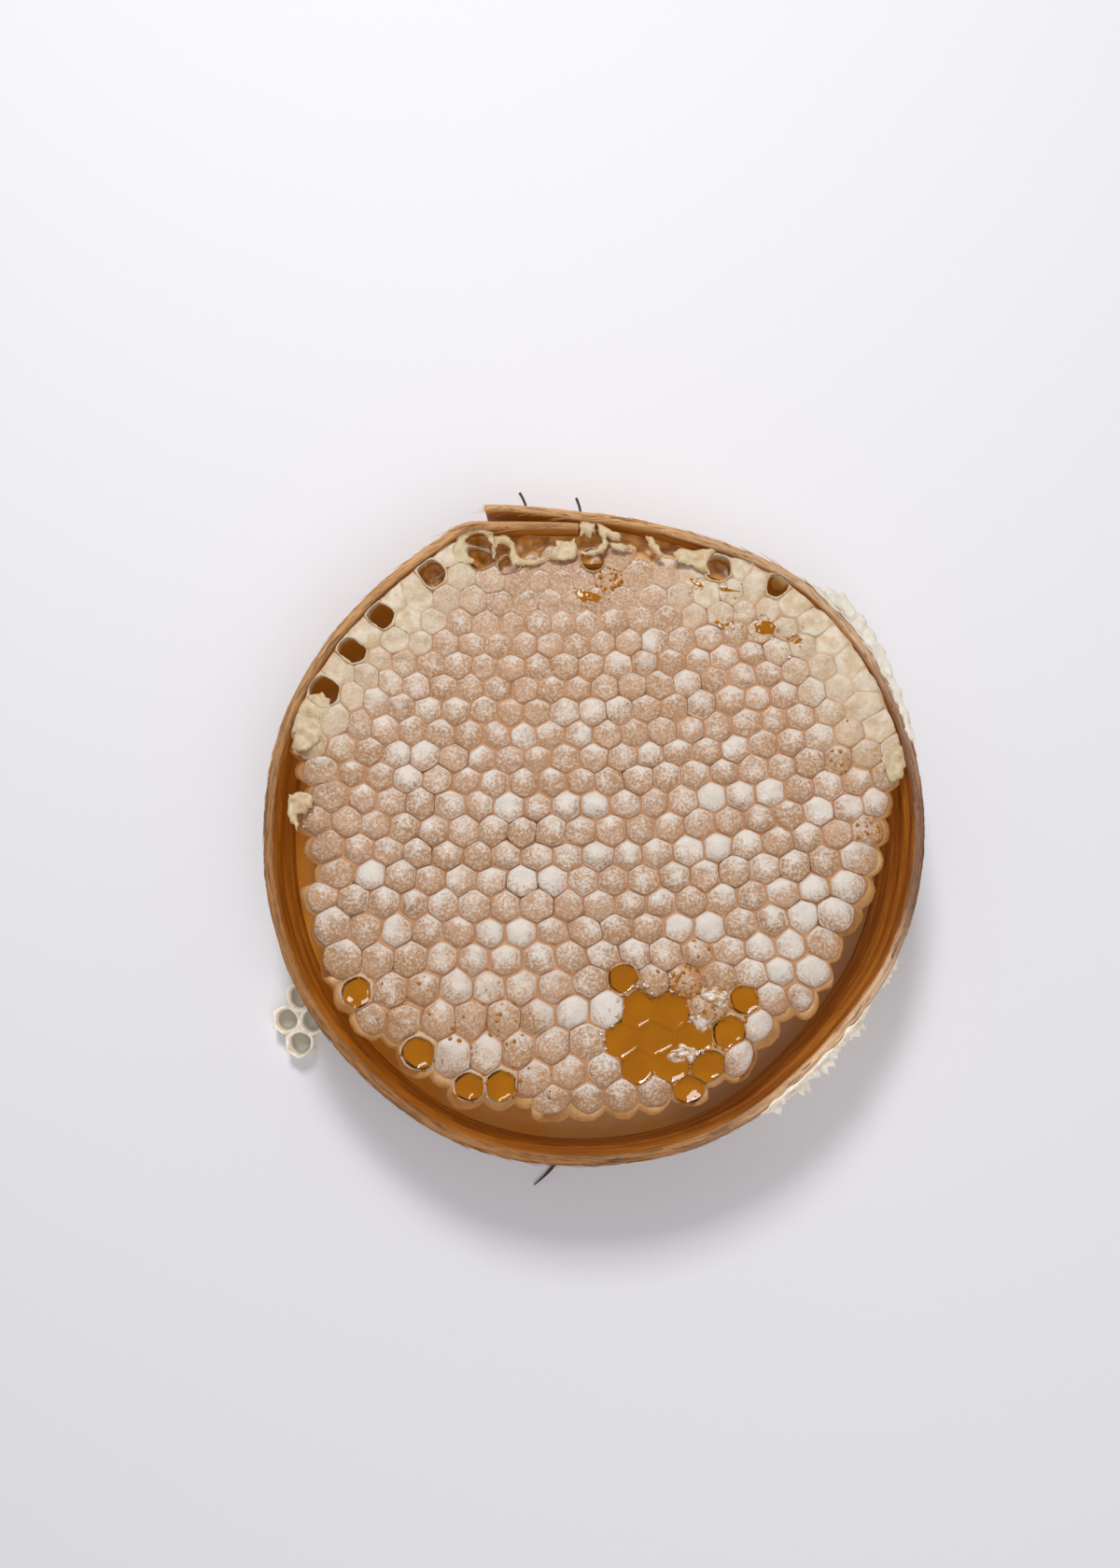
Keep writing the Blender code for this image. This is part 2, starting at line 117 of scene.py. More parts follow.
def bakeNodes(piece, tree, values, material):
    # runs a node tree on a piece, and keeps its result as a plain mesh
    modifier = piece.modifiers.new("shape", "NODES")
    modifier.node_group = tree
    for item in tree.interface.items_tree:
        if item.item_type == "SOCKET" and item.in_out == "INPUT" and item.name in values:
            modifier[item.identifier] = values[item.name]
    graph = bpy.context.evaluated_depsgraph_get()
    shaped = piece.evaluated_get(graph)
    mesh = bpy.data.meshes.new_from_object(shaped, preserve_all_data_layers=True, depsgraph=graph)
    piece.modifiers.remove(modifier)
    piece.data = mesh
    if not mesh.materials:
        mesh.materials.append(material)
    print(piece.name, len(mesh.polygons), "faces")
    return piece


def makeTree(name, sockets):
    tree = bpy.data.node_groups.new(name, "GeometryNodeTree")
    tree.interface.new_socket("Geometry", in_out="INPUT", socket_type="NodeSocketGeometry")
    for label, kind in sockets:
        tree.interface.new_socket(label, in_out="INPUT", socket_type=kind)
    tree.interface.new_socket("Geometry", in_out="OUTPUT", socket_type="NodeSocketGeometry")
    return tree


# the camera, at the viewing angle and distance the piece is best known from

view = {"lens": 31.93, "place": (-0.955, -24.12, 342.86), "turn": (6.11, 1.14, -0.32)}
camera = bpy.data.objects.new("camera", bpy.data.cameras.new("camera"))
camera.data.lens = view["lens"]
camera.data.sensor_width = 36
camera.data.clip_start = 0.01
camera.location = (Vector(view["place"]) + hoopCentre) * mm
camera.rotation_euler = [math.radians(a) for a in view["turn"]]
bpy.context.scene.collection.objects.link(camera)
bpy.context.scene.camera = camera

studio = {
    "sky": "#F2F1F5",
    "skyStrength": 0.34,
    # each lamp: place in metres, size, power
    "lamps": {
        "key": ((-0.08, 0.55, 0.68), 0.2, 4.3),
        "fill": ((0.2, -0.35, 0.85), 0.7, 2.9),
        "spark": ((-0.24, 0.36, 0.75), 0.3, 4.5),
    },
}
world = bpy.data.worlds.new("studio")
world.use_nodes = True
world.node_tree.nodes["Background"].inputs["Color"].default_value = toLinear(studio["sky"])
world.node_tree.nodes["Background"].inputs["Strength"].default_value = studio["skyStrength"]
bpy.context.scene.world = world
bpy.context.scene.view_settings.view_transform = "Standard"
for name, (place, size, power) in studio["lamps"].items():
    lamp = bpy.data.lights.new(name, "AREA")
    lamp.size = size
    lamp.energy = power
    lampObject = bpy.data.objects.new(name, lamp)
    lampObject.location = place
    lampObject.visible_glossy = name != "fill"
    lampObject.visible_diffuse = name != "spark"  # a soft box that only the wet places show
    lampObject.rotation_euler = (-Vector(place)).to_track_quat("-Z", "Y").to_euler()
    bpy.context.scene.collection.objects.link(lampObject)
print("camera and light set")


# materials


def newMaterial(name, roughness, ior=1.45):
    material = bpy.data.materials.new(name)
    material.use_nodes = True
    shader = material.node_tree.nodes["Principled BSDF"]
    shader.inputs["Roughness"].default_value = roughness
    shader.inputs["IOR"].default_value = ior
    return material, material.node_tree, shader


def cappedBeeswax():
    # Fresh beeswax cappings over honey: chalky where the wax stands off the honey, tan where it
    # touches and the honey shows through, amber in the grooves. Satin, slightly translucent.
    material, tree, shader = newMaterial("cappedBeeswax", 0.42, 1.44)
    colours = {
        "groove": "#C29068", "grooveDeep": "#B07C4C", "tan": "#BC9270", "tanDark": "#A67A50",
        "speck": "#D8C0A8", "chalkAndHighlight": "#E2D9CE", "cream": "#E0D2BA", "creamDark": "#CDB28C",
        "wall": "#BC8C54", "wallPale": "#E0C294", "hole": "#7C4812", "wetWax": "#B57A34",
    }
    colours = {key: toLinear(value) for key, value in colours.items()}
    place = addNode(tree, "ShaderNodeTexCoord").outputs["Object"]
    fields = {}
    for key in ("rise", "white", "cream", "tone", "wet", "side", "film"):
        fields[key] = addNode(tree, "ShaderNodeAttribute", attribute_name=key).outputs["Fac"]
    inCell = addNode(tree, "ShaderNodeAttribute", attribute_name="inCell").outputs["Vector"]
    # specks of about 0.6 mm, patches of 2.6 mm, a slow drift over 14 mm
    specks = addNode(
        tree, "ShaderNodeTexNoise",
        {"Vector": place, "Scale": 1 / (0.64 * mm), "Detail": 3.0, "Roughness": 0.72},
    ).outputs["Fac"]
    blotches = addNode(
        tree, "ShaderNodeTexNoise", {"Vector": place, "Scale": 1 / (2.6 * mm), "Detail": 3.0}
    ).outputs["Fac"]
    broad = addNode(
        tree, "ShaderNodeTexNoise", {"Vector": place, "Scale": 1 / (14 * mm), "Detail": 1.0}
    ).outputs["Fac"]
    toneShift = addNode(
        tree, "ShaderNodeMath", {0: fields["tone"], 1: 0.8, 2: 0.0}, operation="MULTIPLY_ADD"
    ).outputs[0]
    tan = addNode(
        tree, "ShaderNodeMix", {"Factor": toneShift, 6: colours["tan"], 7: colours["tanDark"]},
        data_type="RGBA",
    ).outputs[2]
    speckMask = addNode(
        tree, "ShaderNodeMapRange", {"Value": specks, "From Min": 0.47, "From Max": 0.6, "To Max": 0.75}
    ).outputs[0]
    speckled = addNode(
        tree, "ShaderNodeMix", {"Factor": speckMask, 6: tan, 7: colours["speck"]}, data_type="RGBA"
    ).outputs[2]
    # chalk lies round one spot of each cap, and breaks up into specks and threads at its border
    spot = addNode(tree, "ShaderNodeAttribute", attribute_name="chalkSpot").outputs["Vector"]
    fromSpot = addNode(
        tree, "ShaderNodeVectorMath", {0: inCell, 1: spot}, operation="DISTANCE"
    ).outputs["Value"]
    bent = addNode(
        tree, "ShaderNodeTexNoise", {"Vector": place, "Scale": 1 / (1.1 * mm), "Detail": 1.0}
    ).outputs["Color"]
    bentPlace = addNode(
        tree, "ShaderNodeVectorMath", {0: bent, 1: (0.9 * mm,) * 3, 2: place}, operation="MULTIPLY_ADD"
    ).outputs[0]
    cracks = addNode(
        tree, "ShaderNodeTexVoronoi", {"Vector": bentPlace, "Scale": 1 / (0.75 * mm)},
        feature="DISTANCE_TO_EDGE",
    ).outputs["Distance"]
    threads = addNode(
        tree, "ShaderNodeMapRange", {"Value": cracks, "From Min": 0.09, "To Min": 0.24, "To Max": 0.0}
    ).outputs[0]
    broken = addNode(
        tree, "ShaderNodeMath", {0: specks, 1: 1.7, 2: -1.3}, operation="MULTIPLY_ADD"
    ).outputs[0]
    patchy = addNode(
        tree, "ShaderNodeMath", {0: blotches, 1: 0.8, 2: broken}, operation="MULTIPLY_ADD"
    ).outputs[0]
    threaded = addNode(tree, "ShaderNodeMath", {0: patchy, 1: threads}, operation="ADD").outputs[0]
    nearSpot = addNode(
        tree, "ShaderNodeMath", {0: fromSpot, 1: -0.66, 2: threaded}, operation="MULTIPLY_ADD"
    ).outputs[0]
    # the shoulder at the back of a cap catches chalk too
    across = addNode(tree, "ShaderNodeSeparateXYZ", {"Vector": inCell}).outputs["Y"]
    shoulder = addNode(
        tree, "ShaderNodeMapRange", {"Value": across, "From Min": 0.35, "From Max": 0.75, "To Max": 0.34}
    ).outputs[0]
    shouldered = addNode(tree, "ShaderNodeMath", {0: nearSpot, 1: shoulder}, operation="ADD").outputs[0]
    # and a painted highlight runs as a thin pale line round the edge of every cap, added to the chalk
    lineIn = addNode(
        tree, "ShaderNodeMapRange", {"Value": fields["rise"], "From Min": 0.2, "From Max": 0.5}
    ).outputs[0]
    lineOut = addNode(
        tree, "ShaderNodeMapRange",
        {"Value": fields["rise"], "From Min": 0.6, "From Max": 0.9, "To Min": 0.58, "To Max": 0.0},
    ).outputs[0]
    rimHighlightAndChalk = addNode(
        tree, "ShaderNodeMath", {0: lineIn, 1: lineOut, 2: shouldered}, operation="MULTIPLY_ADD"
    ).outputs[0]
    chalkAndHighlightAt = addNode(tree, "ShaderNodeMath", {0: fields["white"], 1: rimHighlightAndChalk}, operation="ADD").outputs[0]
    chalkAndHighlight = addNode(
        tree, "ShaderNodeMapRange", {"Value": chalkAndHighlightAt, "From Min": 0.0, "From Max": 0.62, "To Max": 0.88}
    ).outputs[0]
    capped = addNode(
        tree, "ShaderNodeMix", {"Factor": chalkAndHighlight, 6: speckled, 7: colours["chalkAndHighlight"]}, data_type="RGBA"
    ).outputs[2]
    creamTone = addNode(
        tree, "ShaderNodeMapRange", {"Value": blotches, "From Min": 0.38, "From Max": 0.62}
    ).outputs[0]
    cream = addNode(
        tree, "ShaderNodeMix", {"Factor": creamTone, 6: colours["cream"], 7: colours["creamDark"]},
        data_type="RGBA",
    ).outputs[2]
    creamy = addNode(
        tree, "ShaderNodeMix", {"Factor": fields["cream"], 6: capped, 7: cream}, data_type="RGBA"
    ).outputs[2]
    # the groove round each cap
    grooveTone = addNode(
        tree, "ShaderNodeMix", {"Factor": broad, 6: colours["groove"], 7: colours["grooveDeep"]},
        data_type="RGBA",
    ).outputs[2]
    onCap = addNode(
        tree, "ShaderNodeMapRange", {"Value": fields["rise"], "From Min": 0.05, "From Max": 0.6}
    ).outputs[0]
    seamless = addNode(
        tree, "ShaderNodeMath", {0: fields["cream"], 1: 0.75}, operation="MULTIPLY"
    ).outputs[0]
    filmed = addNode(
        tree, "ShaderNodeMath", {0: seamless, 1: fields["film"]}, operation="MAXIMUM"
    ).outputs[0]
    onTop = addNode(tree, "ShaderNodeMath", {0: onCap, 1: filmed}, operation="MAXIMUM").outputs[0]
    top = addNode(
        tree, "ShaderNodeMix", {"Factor": onTop, 6: grooveTone, 7: creamy}, data_type="RGBA"
    ).outputs[2]
    # down inside an open cell the colour goes to brown, more so the deeper it is
    down = addNode(
        tree, "ShaderNodeMapRange", {"Value": fields["rise"], "From Min": -0.02, "From Max": -0.5}
    ).outputs[0]
    inner = addNode(
        tree, "ShaderNodeMix", {"Factor": down, 6: top, 7: colours["hole"]}, data_type="RGBA"
    ).outputs[2]
    # honey-soaked walls at the sides
    streaks = addNode(tree, "ShaderNodeMapping", {"Vector": place, "Scale": (1, 1, 0.2)}).outputs[0]
    streak = addNode(
        tree, "ShaderNodeTexNoise", {"Vector": streaks, "Scale": 1 / (2 * mm), "Detail": 2.0}
    ).outputs["Fac"]
    wall = addNode(
        tree, "ShaderNodeMix", {"Factor": streak, 6: colours["wall"], 7: colours["wallPale"]},
        data_type="RGBA",
    ).outputs[2]
    sided = addNode(
        tree, "ShaderNodeMix", {"Factor": fields["side"], 6: inner, 7: wall}, data_type="RGBA"
    ).outputs[2]
    wetPatch = addNode(
        tree, "ShaderNodeMapRange",
        {"Value": blotches, "From Min": 0.35, "From Max": 0.6, "To Min": 0.95, "To Max": 0.35},
    ).outputs[0]
    wetTone = addNode(
        tree, "ShaderNodeMath", {0: fields["wet"], 1: wetPatch}, operation="MULTIPLY"
    ).outputs[0]
    wetted = addNode(
        tree, "ShaderNodeMix", {"Factor": wetTone, 6: sided, 7: colours["wetWax"]}, data_type="RGBA"
    ).outputs[2]
    tree.links.new(wetted, shader.inputs["Base Color"])
    moist = addNode(tree, "ShaderNodeMath", {0: fields["side"], 1: 0.7}, operation="MULTIPLY").outputs[0]
    damp = addNode(tree, "ShaderNodeMath", {0: fields["wet"], 1: moist}, operation="MAXIMUM").outputs[0]
    gloss = addNode(tree, "ShaderNodeMapRange", {"Value": damp, "To Min": 0.45, "To Max": 0.08}).outputs[0]
    tree.links.new(gloss, shader.inputs["Roughness"])
    bump = addNode(
        tree, "ShaderNodeBump", {"Height": specks, "Strength": 0.75, "Distance": 0.32 * mm}
    ).outputs[0]
    tree.links.new(bump, shader.inputs["Normal"])
    # painted glow stands in for light that has come through the thin walls: faint in the grooves, brown in
    # the open cells and on the side walls
    grooveGlow = addNode(
        tree, "ShaderNodeMix", {"Factor": onTop, 6: toLinear("#2C1C10"), 7: (0, 0, 0, 1)},
        data_type="RGBA",
    ).outputs[2]
    within = addNode(
        tree, "ShaderNodeMix", {"Factor": down, 6: grooveGlow, 7: toLinear("#6E3E0C")}, data_type="RGBA"
    ).outputs[2]
    glow = addNode(
        tree, "ShaderNodeMix", {"Factor": fields["side"], 6: within, 7: toLinear("#6E4C26")},
        data_type="RGBA",
    ).outputs[2]
    tree.links.new(glow, shader.inputs["Emission Color"])
    shader.inputs["Emission Strength"].default_value = 0.6
    shader.inputs["Subsurface Weight"].default_value = 0.12
    shader.inputs["Subsurface Radius"].default_value = (1.2, 0.7, 0.35)
    shader.inputs["Subsurface Scale"].default_value = 1 * mm
    return material


def burrWax(name, dark, pale, old, ageing, glow, wrinkle):
    # Scraps of raw beeswax: pale, dull and thin; a painted glow stands in for light through the thin wax,
    # strongest toward the front, where the crusts stand in shade.
    material, tree, shader = newMaterial(name, 0.5, 1.44)
    place = addNode(tree, "ShaderNodeTexCoord").outputs["Object"]
    blotches = addNode(
        tree, "ShaderNodeTexNoise",
        {"Vector": place, "Scale": 1 / (2.2 * mm), "Detail": 4.0, "Roughness": 0.6},
    )
    ramp = addNode(tree, "ShaderNodeValToRGB", {"Fac": blotches.outputs["Fac"]})
    ramp.color_ramp.elements[0].position = 0.3
    ramp.color_ramp.elements[0].color = toLinear(dark)
    ramp.color_ramp.elements[1].position = 0.66
    ramp.color_ramp.elements[1].color = toLinear(pale)
    back = addNode(tree, "ShaderNodeSeparateXYZ", {"Vector": place}).outputs["Y"]
    older = addNode(
        tree, "ShaderNodeMapRange",
        {"Value": back, "From Min": -5 * mm, "From Max": 50 * mm, "To Max": ageing},
    ).outputs[0]
    aged = addNode(
        tree, "ShaderNodeMix", {"Factor": older, 6: ramp.outputs["Color"], 7: toLinear(old)},
        data_type="RGBA",
    ).outputs[2]
    rise = addNode(tree, "ShaderNodeAttribute", attribute_name="rise").outputs["Fac"]
    # painted shade: the wax goes a darker grey down in the hollows of the cells
    hollowShade = addNode(
        tree, "ShaderNodeMapRange", {"Value": rise, "From Min": -0.1, "From Max": -0.7, "To Max": 0.85}
    ).outputs[0]
    colour = addNode(
        tree, "ShaderNodeMix", {"Factor": hollowShade, 6: aged, 7: toLinear("#8C887C")}, data_type="RGBA"
    ).outputs[2]
    tree.links.new(colour, shader.inputs["Base Color"])
    creases = addNode(
        tree, "ShaderNodeTexNoise",
        {"Vector": place, "Scale": 1 / (0.7 * mm), "Detail": 3.0, "Roughness": 0.65},
    ).outputs["Fac"]
    rough = addNode(
        tree, "ShaderNodeMath", {0: creases, 1: wrinkle, 2: blotches.outputs["Fac"]},
        operation="MULTIPLY_ADD",
    ).outputs[0]
    bump = addNode(tree, "ShaderNodeBump", {"Height": rough, "Strength": 0.6, "Distance": 0.4 * mm})
    tree.links.new(bump.outputs[0], shader.inputs["Normal"])
    # painted glow: full toward the front, where the crusts stand in the rim's shade, weaker toward the back
    frontGlow = addNode(tree, "ShaderNodeMapRange", {"Value": older, "To Min": 1.0, "To Max": 0.1}).outputs[0]
    lit = addNode(tree, "ShaderNodeVectorMath", {0: colour, "Scale": frontGlow}, operation="SCALE").outputs[0]
    tree.links.new(lit, shader.inputs["Emission Color"])
    shader.inputs["Emission Strength"].default_value = glow  # thin wax passes light on
    shader.inputs["Subsurface Weight"].default_value = 0.25
    shader.inputs["Subsurface Radius"].default_value = (1.5, 1.0, 0.6)
    shader.inputs["Subsurface Scale"].default_value = 1 * mm
    return material


def tornWax():
    # Crumpled cappings wet with honey: white folds, tan between them, glossy.
    material, tree, shader = newMaterial("tornWax", 0.14, 1.44)
    place = addNode(tree, "ShaderNodeTexCoord").outputs["Object"]
    folds = addNode(
        tree, "ShaderNodeMapping", {"Vector": place, "Scale": (0.45, 1, 1), "Rotation": (0, 0, 0.6)}
    ).outputs[0]
    crumple = addNode(
        tree, "ShaderNodeTexNoise",
        {"Vector": folds, "Scale": 1 / (0.9 * mm), "Detail": 3.0, "Roughness": 0.65},
    ).outputs["Fac"]
    ramp = addNode(tree, "ShaderNodeValToRGB", {"Fac": crumple})
    ramp.color_ramp.elements[0].position = 0.4
    ramp.color_ramp.elements[0].color = toLinear("#B4824C")
    ramp.color_ramp.elements[1].position = 0.6
    ramp.color_ramp.elements[1].color = toLinear("#EAE2D6")
    tree.links.new(ramp.outputs["Color"], shader.inputs["Base Color"])
    bump = addNode(
        tree, "ShaderNodeBump", {"Height": crumple, "Strength": 0.9, "Distance": 0.5 * mm}
    ).outputs[0]
    tree.links.new(bump, shader.inputs["Normal"])
    return material


def brownWax():
    # Old wax soaked with honey, seen down in a gap: brown, satin, light comes through it.
    material, tree, shader = newMaterial("brownWax", 0.35, 1.44)
    place = addNode(tree, "ShaderNodeTexCoord").outputs["Object"]
    blotches = addNode(
        tree, "ShaderNodeTexNoise", {"Vector": place, "Scale": 1 / (2.4 * mm), "Detail": 3.0}
    ).outputs["Fac"]
    ramp = addNode(tree, "ShaderNodeValToRGB", {"Fac": blotches})
    ramp.color_ramp.elements[0].position = 0.36
    ramp.color_ramp.elements[0].color = toLinear("#8A5216")
    ramp.color_ramp.elements[1].position = 0.64
    ramp.color_ramp.elements[1].color = toLinear("#C2883C")
    tree.links.new(ramp.outputs["Color"], shader.inputs["Base Color"])
    tree.links.new(ramp.outputs["Color"], shader.inputs["Emission Color"])
    shader.inputs["Emission Strength"].default_value = 0.16
    return material


def honey():
    # Runny honey seen deep: amber, and as smooth as a mirror.
    material, tree, shader = newMaterial("honey", 0.04, 1.49)
    place = addNode(tree, "ShaderNodeTexCoord").outputs["Object"]
    depth = addNode(
        tree, "ShaderNodeTexNoise", {"Vector": place, "Scale": 1 / (6 * mm), "Detail": 1.0}
    ).outputs["Fac"]
    ramp = addNode(tree, "ShaderNodeValToRGB", {"Fac": depth})
    ramp.color_ramp.elements[0].position = 0.35
    ramp.color_ramp.elements[0].color = toLinear("#A26000")
    ramp.color_ramp.elements[1].position = 0.65
    ramp.color_ramp.elements[1].color = toLinear("#AA6800")
    tree.links.new(ramp.outputs["Color"], shader.inputs["Base Color"])
    shader.inputs["Specular IOR Level"].default_value = 0.34
    return material


def honeyFilm():
    # A thin skin of run-out honey on a pale ground: tan where it is thin, amber where it gathers.
    material, tree, shader = newMaterial("honeyFilm", 0.12, 1.49)
    place = addNode(tree, "ShaderNodeTexCoord").outputs["Object"]
    depth = addNode(
        tree, "ShaderNodeTexNoise", {"Vector": place, "Scale": 1 / (22 * mm), "Detail": 2.0}
    ).outputs["Fac"]
    across = addNode(tree, "ShaderNodeSeparateXYZ", {"Vector": place}).outputs["X"]
    thinner = addNode(
        tree, "ShaderNodeMath", {0: across, 1: 6.0, 2: depth}, operation="MULTIPLY_ADD"
    ).outputs[0]
    ramp = addNode(tree, "ShaderNodeValToRGB", {"Fac": thinner})
    ramp.color_ramp.elements[0].position = 0.25
    ramp.color_ramp.elements[0].color = toLinear("#CE8A34")
    ramp.color_ramp.elements[1].position = 0.8
    ramp.color_ramp.elements[1].color = toLinear("#B08862")
    middle = ramp.color_ramp.elements.new(0.5)
    middle.color = toLinear("#C89A5C")
    tree.links.new(ramp.outputs["Color"], shader.inputs["Base Color"])
    tree.links.new(ramp.outputs["Color"], shader.inputs["Emission Color"])
    shader.inputs["Emission Strength"].default_value = 0.12  # light that comes up through the film
    return material


def ironWire():
    # Dull drawn iron, a little brown with age.
    material, tree, shader = newMaterial("ironWire", 0.5, 1.5)
    place = addNode(tree, "ShaderNodeTexCoord").outputs["Object"]
    age = addNode(
        tree, "ShaderNodeTexNoise", {"Vector": place, "Scale": 1 / (0.6 * mm), "Detail": 2.0}
    ).outputs["Fac"]
    colour = addNode(
        tree, "ShaderNodeMix", {"Factor": age, 6: toLinear("#6A6A70"), 7: toLinear("#4A3A30")},
        data_type="RGBA",
    ).outputs[2]
    tree.links.new(colour, shader.inputs["Base Color"])
    shader.inputs["Metallic"].default_value = 0.85
    return material


def weatheredFibre():
    # A sliver of nearly black bark fibre, rough and dull.
    material, tree, shader = newMaterial("weatheredFibre", 0.8, 1.5)
    place = addNode(tree, "ShaderNodeTexCoord").outputs["Object"]
    fibre = addNode(
        tree, "ShaderNodeTexNoise", {"Vector": place, "Scale": 1 / (0.5 * mm), "Detail": 3.0}
    ).outputs["Fac"]
    colour = addNode(
        tree, "ShaderNodeMix", {"Factor": fibre, 6: toLinear("#2A1A10"), 7: toLinear("#6B4A30")},
        data_type="RGBA",
    ).outputs[2]
    tree.links.new(colour, shader.inputs["Base Color"])
    bump = addNode(
        tree, "ShaderNodeBump", {"Height": fibre, "Strength": 0.6, "Distance": 0.15 * mm}
    ).outputs[0]
    tree.links.new(bump, shader.inputs["Normal"])
    return material


def bentWood():
    # A thin-cut strip of bare light wood, bent wet: long coarse fibres run round the hoop, with
    # dark open pores; honey and wax have stained it, most of all inside. Almost no sheen outside.
    material, tree, shader = newMaterial("bentWood", 0.62, 1.5)
    grain = addNode(tree, "ShaderNodeAttribute", attribute_name="grain").outputs["Vector"]
    pale = addNode(tree, "ShaderNodeAttribute", attribute_name="pale").outputs["Fac"]
    inside = addNode(tree, "ShaderNodeAttribute", attribute_name="inside").outputs["Fac"]
    # the grain is in mm along, up and through the strip: fibres 0.4 mm across and 10 mm long
    fibreMap = addNode(tree, "ShaderNodeMapping", {"Vector": grain, "Scale": (0.07, 1.9, 2.2)}).outputs[0]
    fibres = addNode(
        tree, "ShaderNodeTexNoise", {"Vector": fibreMap, "Scale": 1.0, "Detail": 5.0, "Roughness": 0.7}
    ).outputs["Fac"]
    bandMap = addNode(tree, "ShaderNodeMapping", {"Vector": grain, "Scale": (0.03, 0.3, 0.5)}).outputs[0]
    bands = addNode(
        tree, "ShaderNodeTexNoise", {"Vector": bandMap, "Scale": 1.0, "Detail": 2.0}
    ).outputs["Fac"]
    poreMap = addNode(tree, "ShaderNodeMapping", {"Vector": grain, "Scale": (0.16, 1.9, 1.9)}).outputs[0]
    pores = addNode(
        tree, "ShaderNodeTexNoise", {"Vector": poreMap, "Scale": 1.0, "Detail": 1.0}
    ).outputs["Fac"]
    # at the right the darker wood goes greyer brown, painted shade where the rim stands in shadow, while
    # the bare tone goes lighter; elsewhere the wood is warmer
    place = addNode(tree, "ShaderNodeTexCoord").outputs["Object"]
    sideways = addNode(tree, "ShaderNodeSeparateXYZ", {"Vector": place}).outputs["X"]
    rightward = addNode(
        tree, "ShaderNodeMapRange", {"Value": sideways, "From Min": 10 * mm, "From Max": 60 * mm}
    ).outputs[0]
    brown = addNode(
        tree, "ShaderNodeMix", {"Factor": rightward, 6: toLinear("#A06830"), 7: toLinear("#8E6046")},
        data_type="RGBA",
    ).outputs[2]
    bare = addNode(
        tree, "ShaderNodeMix", {"Factor": rightward, 6: toLinear("#DEA86C"), 7: toLinear("#E6BE94")},
        data_type="RGBA",
    ).outputs[2]
    # where the pale share is low, as on the shaded right of the rim, the darker brown is painted shade
    outer = addNode(tree, "ShaderNodeMix", {"Factor": pale, 6: brown, 7: bare}, data_type="RGBA").outputs[2]
    calm = addNode(tree, "ShaderNodeMath", {0: pale, 1: 0.5}, operation="MULTIPLY").outputs[0]
    innerTone = addNode(
        tree, "ShaderNodeMapRange", {"Value": bands, "From Min": 0.35, "From Max": 0.65}
    ).outputs[0]
    inner = addNode(
        tree, "ShaderNodeMix", {"Factor": innerTone, 6: toLinear("#9A5008"), 7: toLinear("#B87424")},
        data_type="RGBA",
    ).outputs[2]
    base = addNode(
        tree, "ShaderNodeMix", {"Factor": inside, 6: outer, 7: inner}, data_type="RGBA"
    ).outputs[2]
    streak = addNode(
        tree, "ShaderNodeMapRange",
        {"Value": fibres, "From Min": 0.36, "From Max": 0.64, "To Min": 0.58, "To Max": 1.28},
    ).outputs[0]
    banded = addNode(
        tree, "ShaderNodeMapRange",
        {"Value": bands, "From Min": 0.32, "From Max": 0.68, "To Min": 0.8, "To Max": 1.16},
    ).outputs[0]
    streaked = addNode(tree, "ShaderNodeMath", {0: streak, 1: banded}, operation="MULTIPLY").outputs[0]
    shade = addNode(
        tree, "ShaderNodeMix", {"Factor": calm, 2: streaked, 3: 1.0}, data_type="FLOAT"
    ).outputs[0]
    pore = addNode(
        tree, "ShaderNodeMapRange", {"Value": pores, "From Min": 0.3, "From Max": 0.37, "To Min": 0.35}
    ).outputs[0]
    shaded = addNode(tree, "ShaderNodeMath", {0: shade, 1: pore}, operation="MULTIPLY").outputs[0]
    colour = addNode(tree, "ShaderNodeVectorMath", {0: base, "Scale": shaded}, operation="SCALE").outputs[0]
    tree.links.new(colour, shader.inputs["Base Color"])
    gloss = addNode(
        tree, "ShaderNodeMapRange", {"Value": inside, "To Min": 0.65, "To Max": 0.32}
    ).outputs[0]
    tree.links.new(gloss, shader.inputs["Roughness"])
    # the thin honey-soaked strip lets some light through from outside
    through = addNode(
        tree, "ShaderNodeVectorMath", {0: colour, "Scale": inside}, operation="SCALE"
    ).outputs[0]
    tree.links.new(through, shader.inputs["Emission Color"])
    shader.inputs["Emission Strength"].default_value = 0.14
    bump = addNode(
        tree, "ShaderNodeBump", {"Height": fibres, "Strength": 0.9, "Distance": 0.45 * mm}
    ).outputs[0]
    tree.links.new(bump, shader.inputs["Normal"])
    return material


waxMaterial = cappedBeeswax()
burrMaterial = burrWax("burrWax", "#CFBBA0", "#EFE9DE", "#D6CCBE", 0.85, 0.22, 0.3)
webMaterial = burrWax("webWax", "#B28E62", "#DAC8A8", "#D4B88E", 0.6, 0.07, 0.8)
honeyMaterial = honey()
woodMaterial = bentWood()
filmMaterial = honeyFilm()
brownMaterial = brownWax()
tornMaterial = tornWax()
wireMaterial = ironWire()
fibreMaterial = weatheredFibre()
print("materials made")


# the hoop's walls, as the frame has them

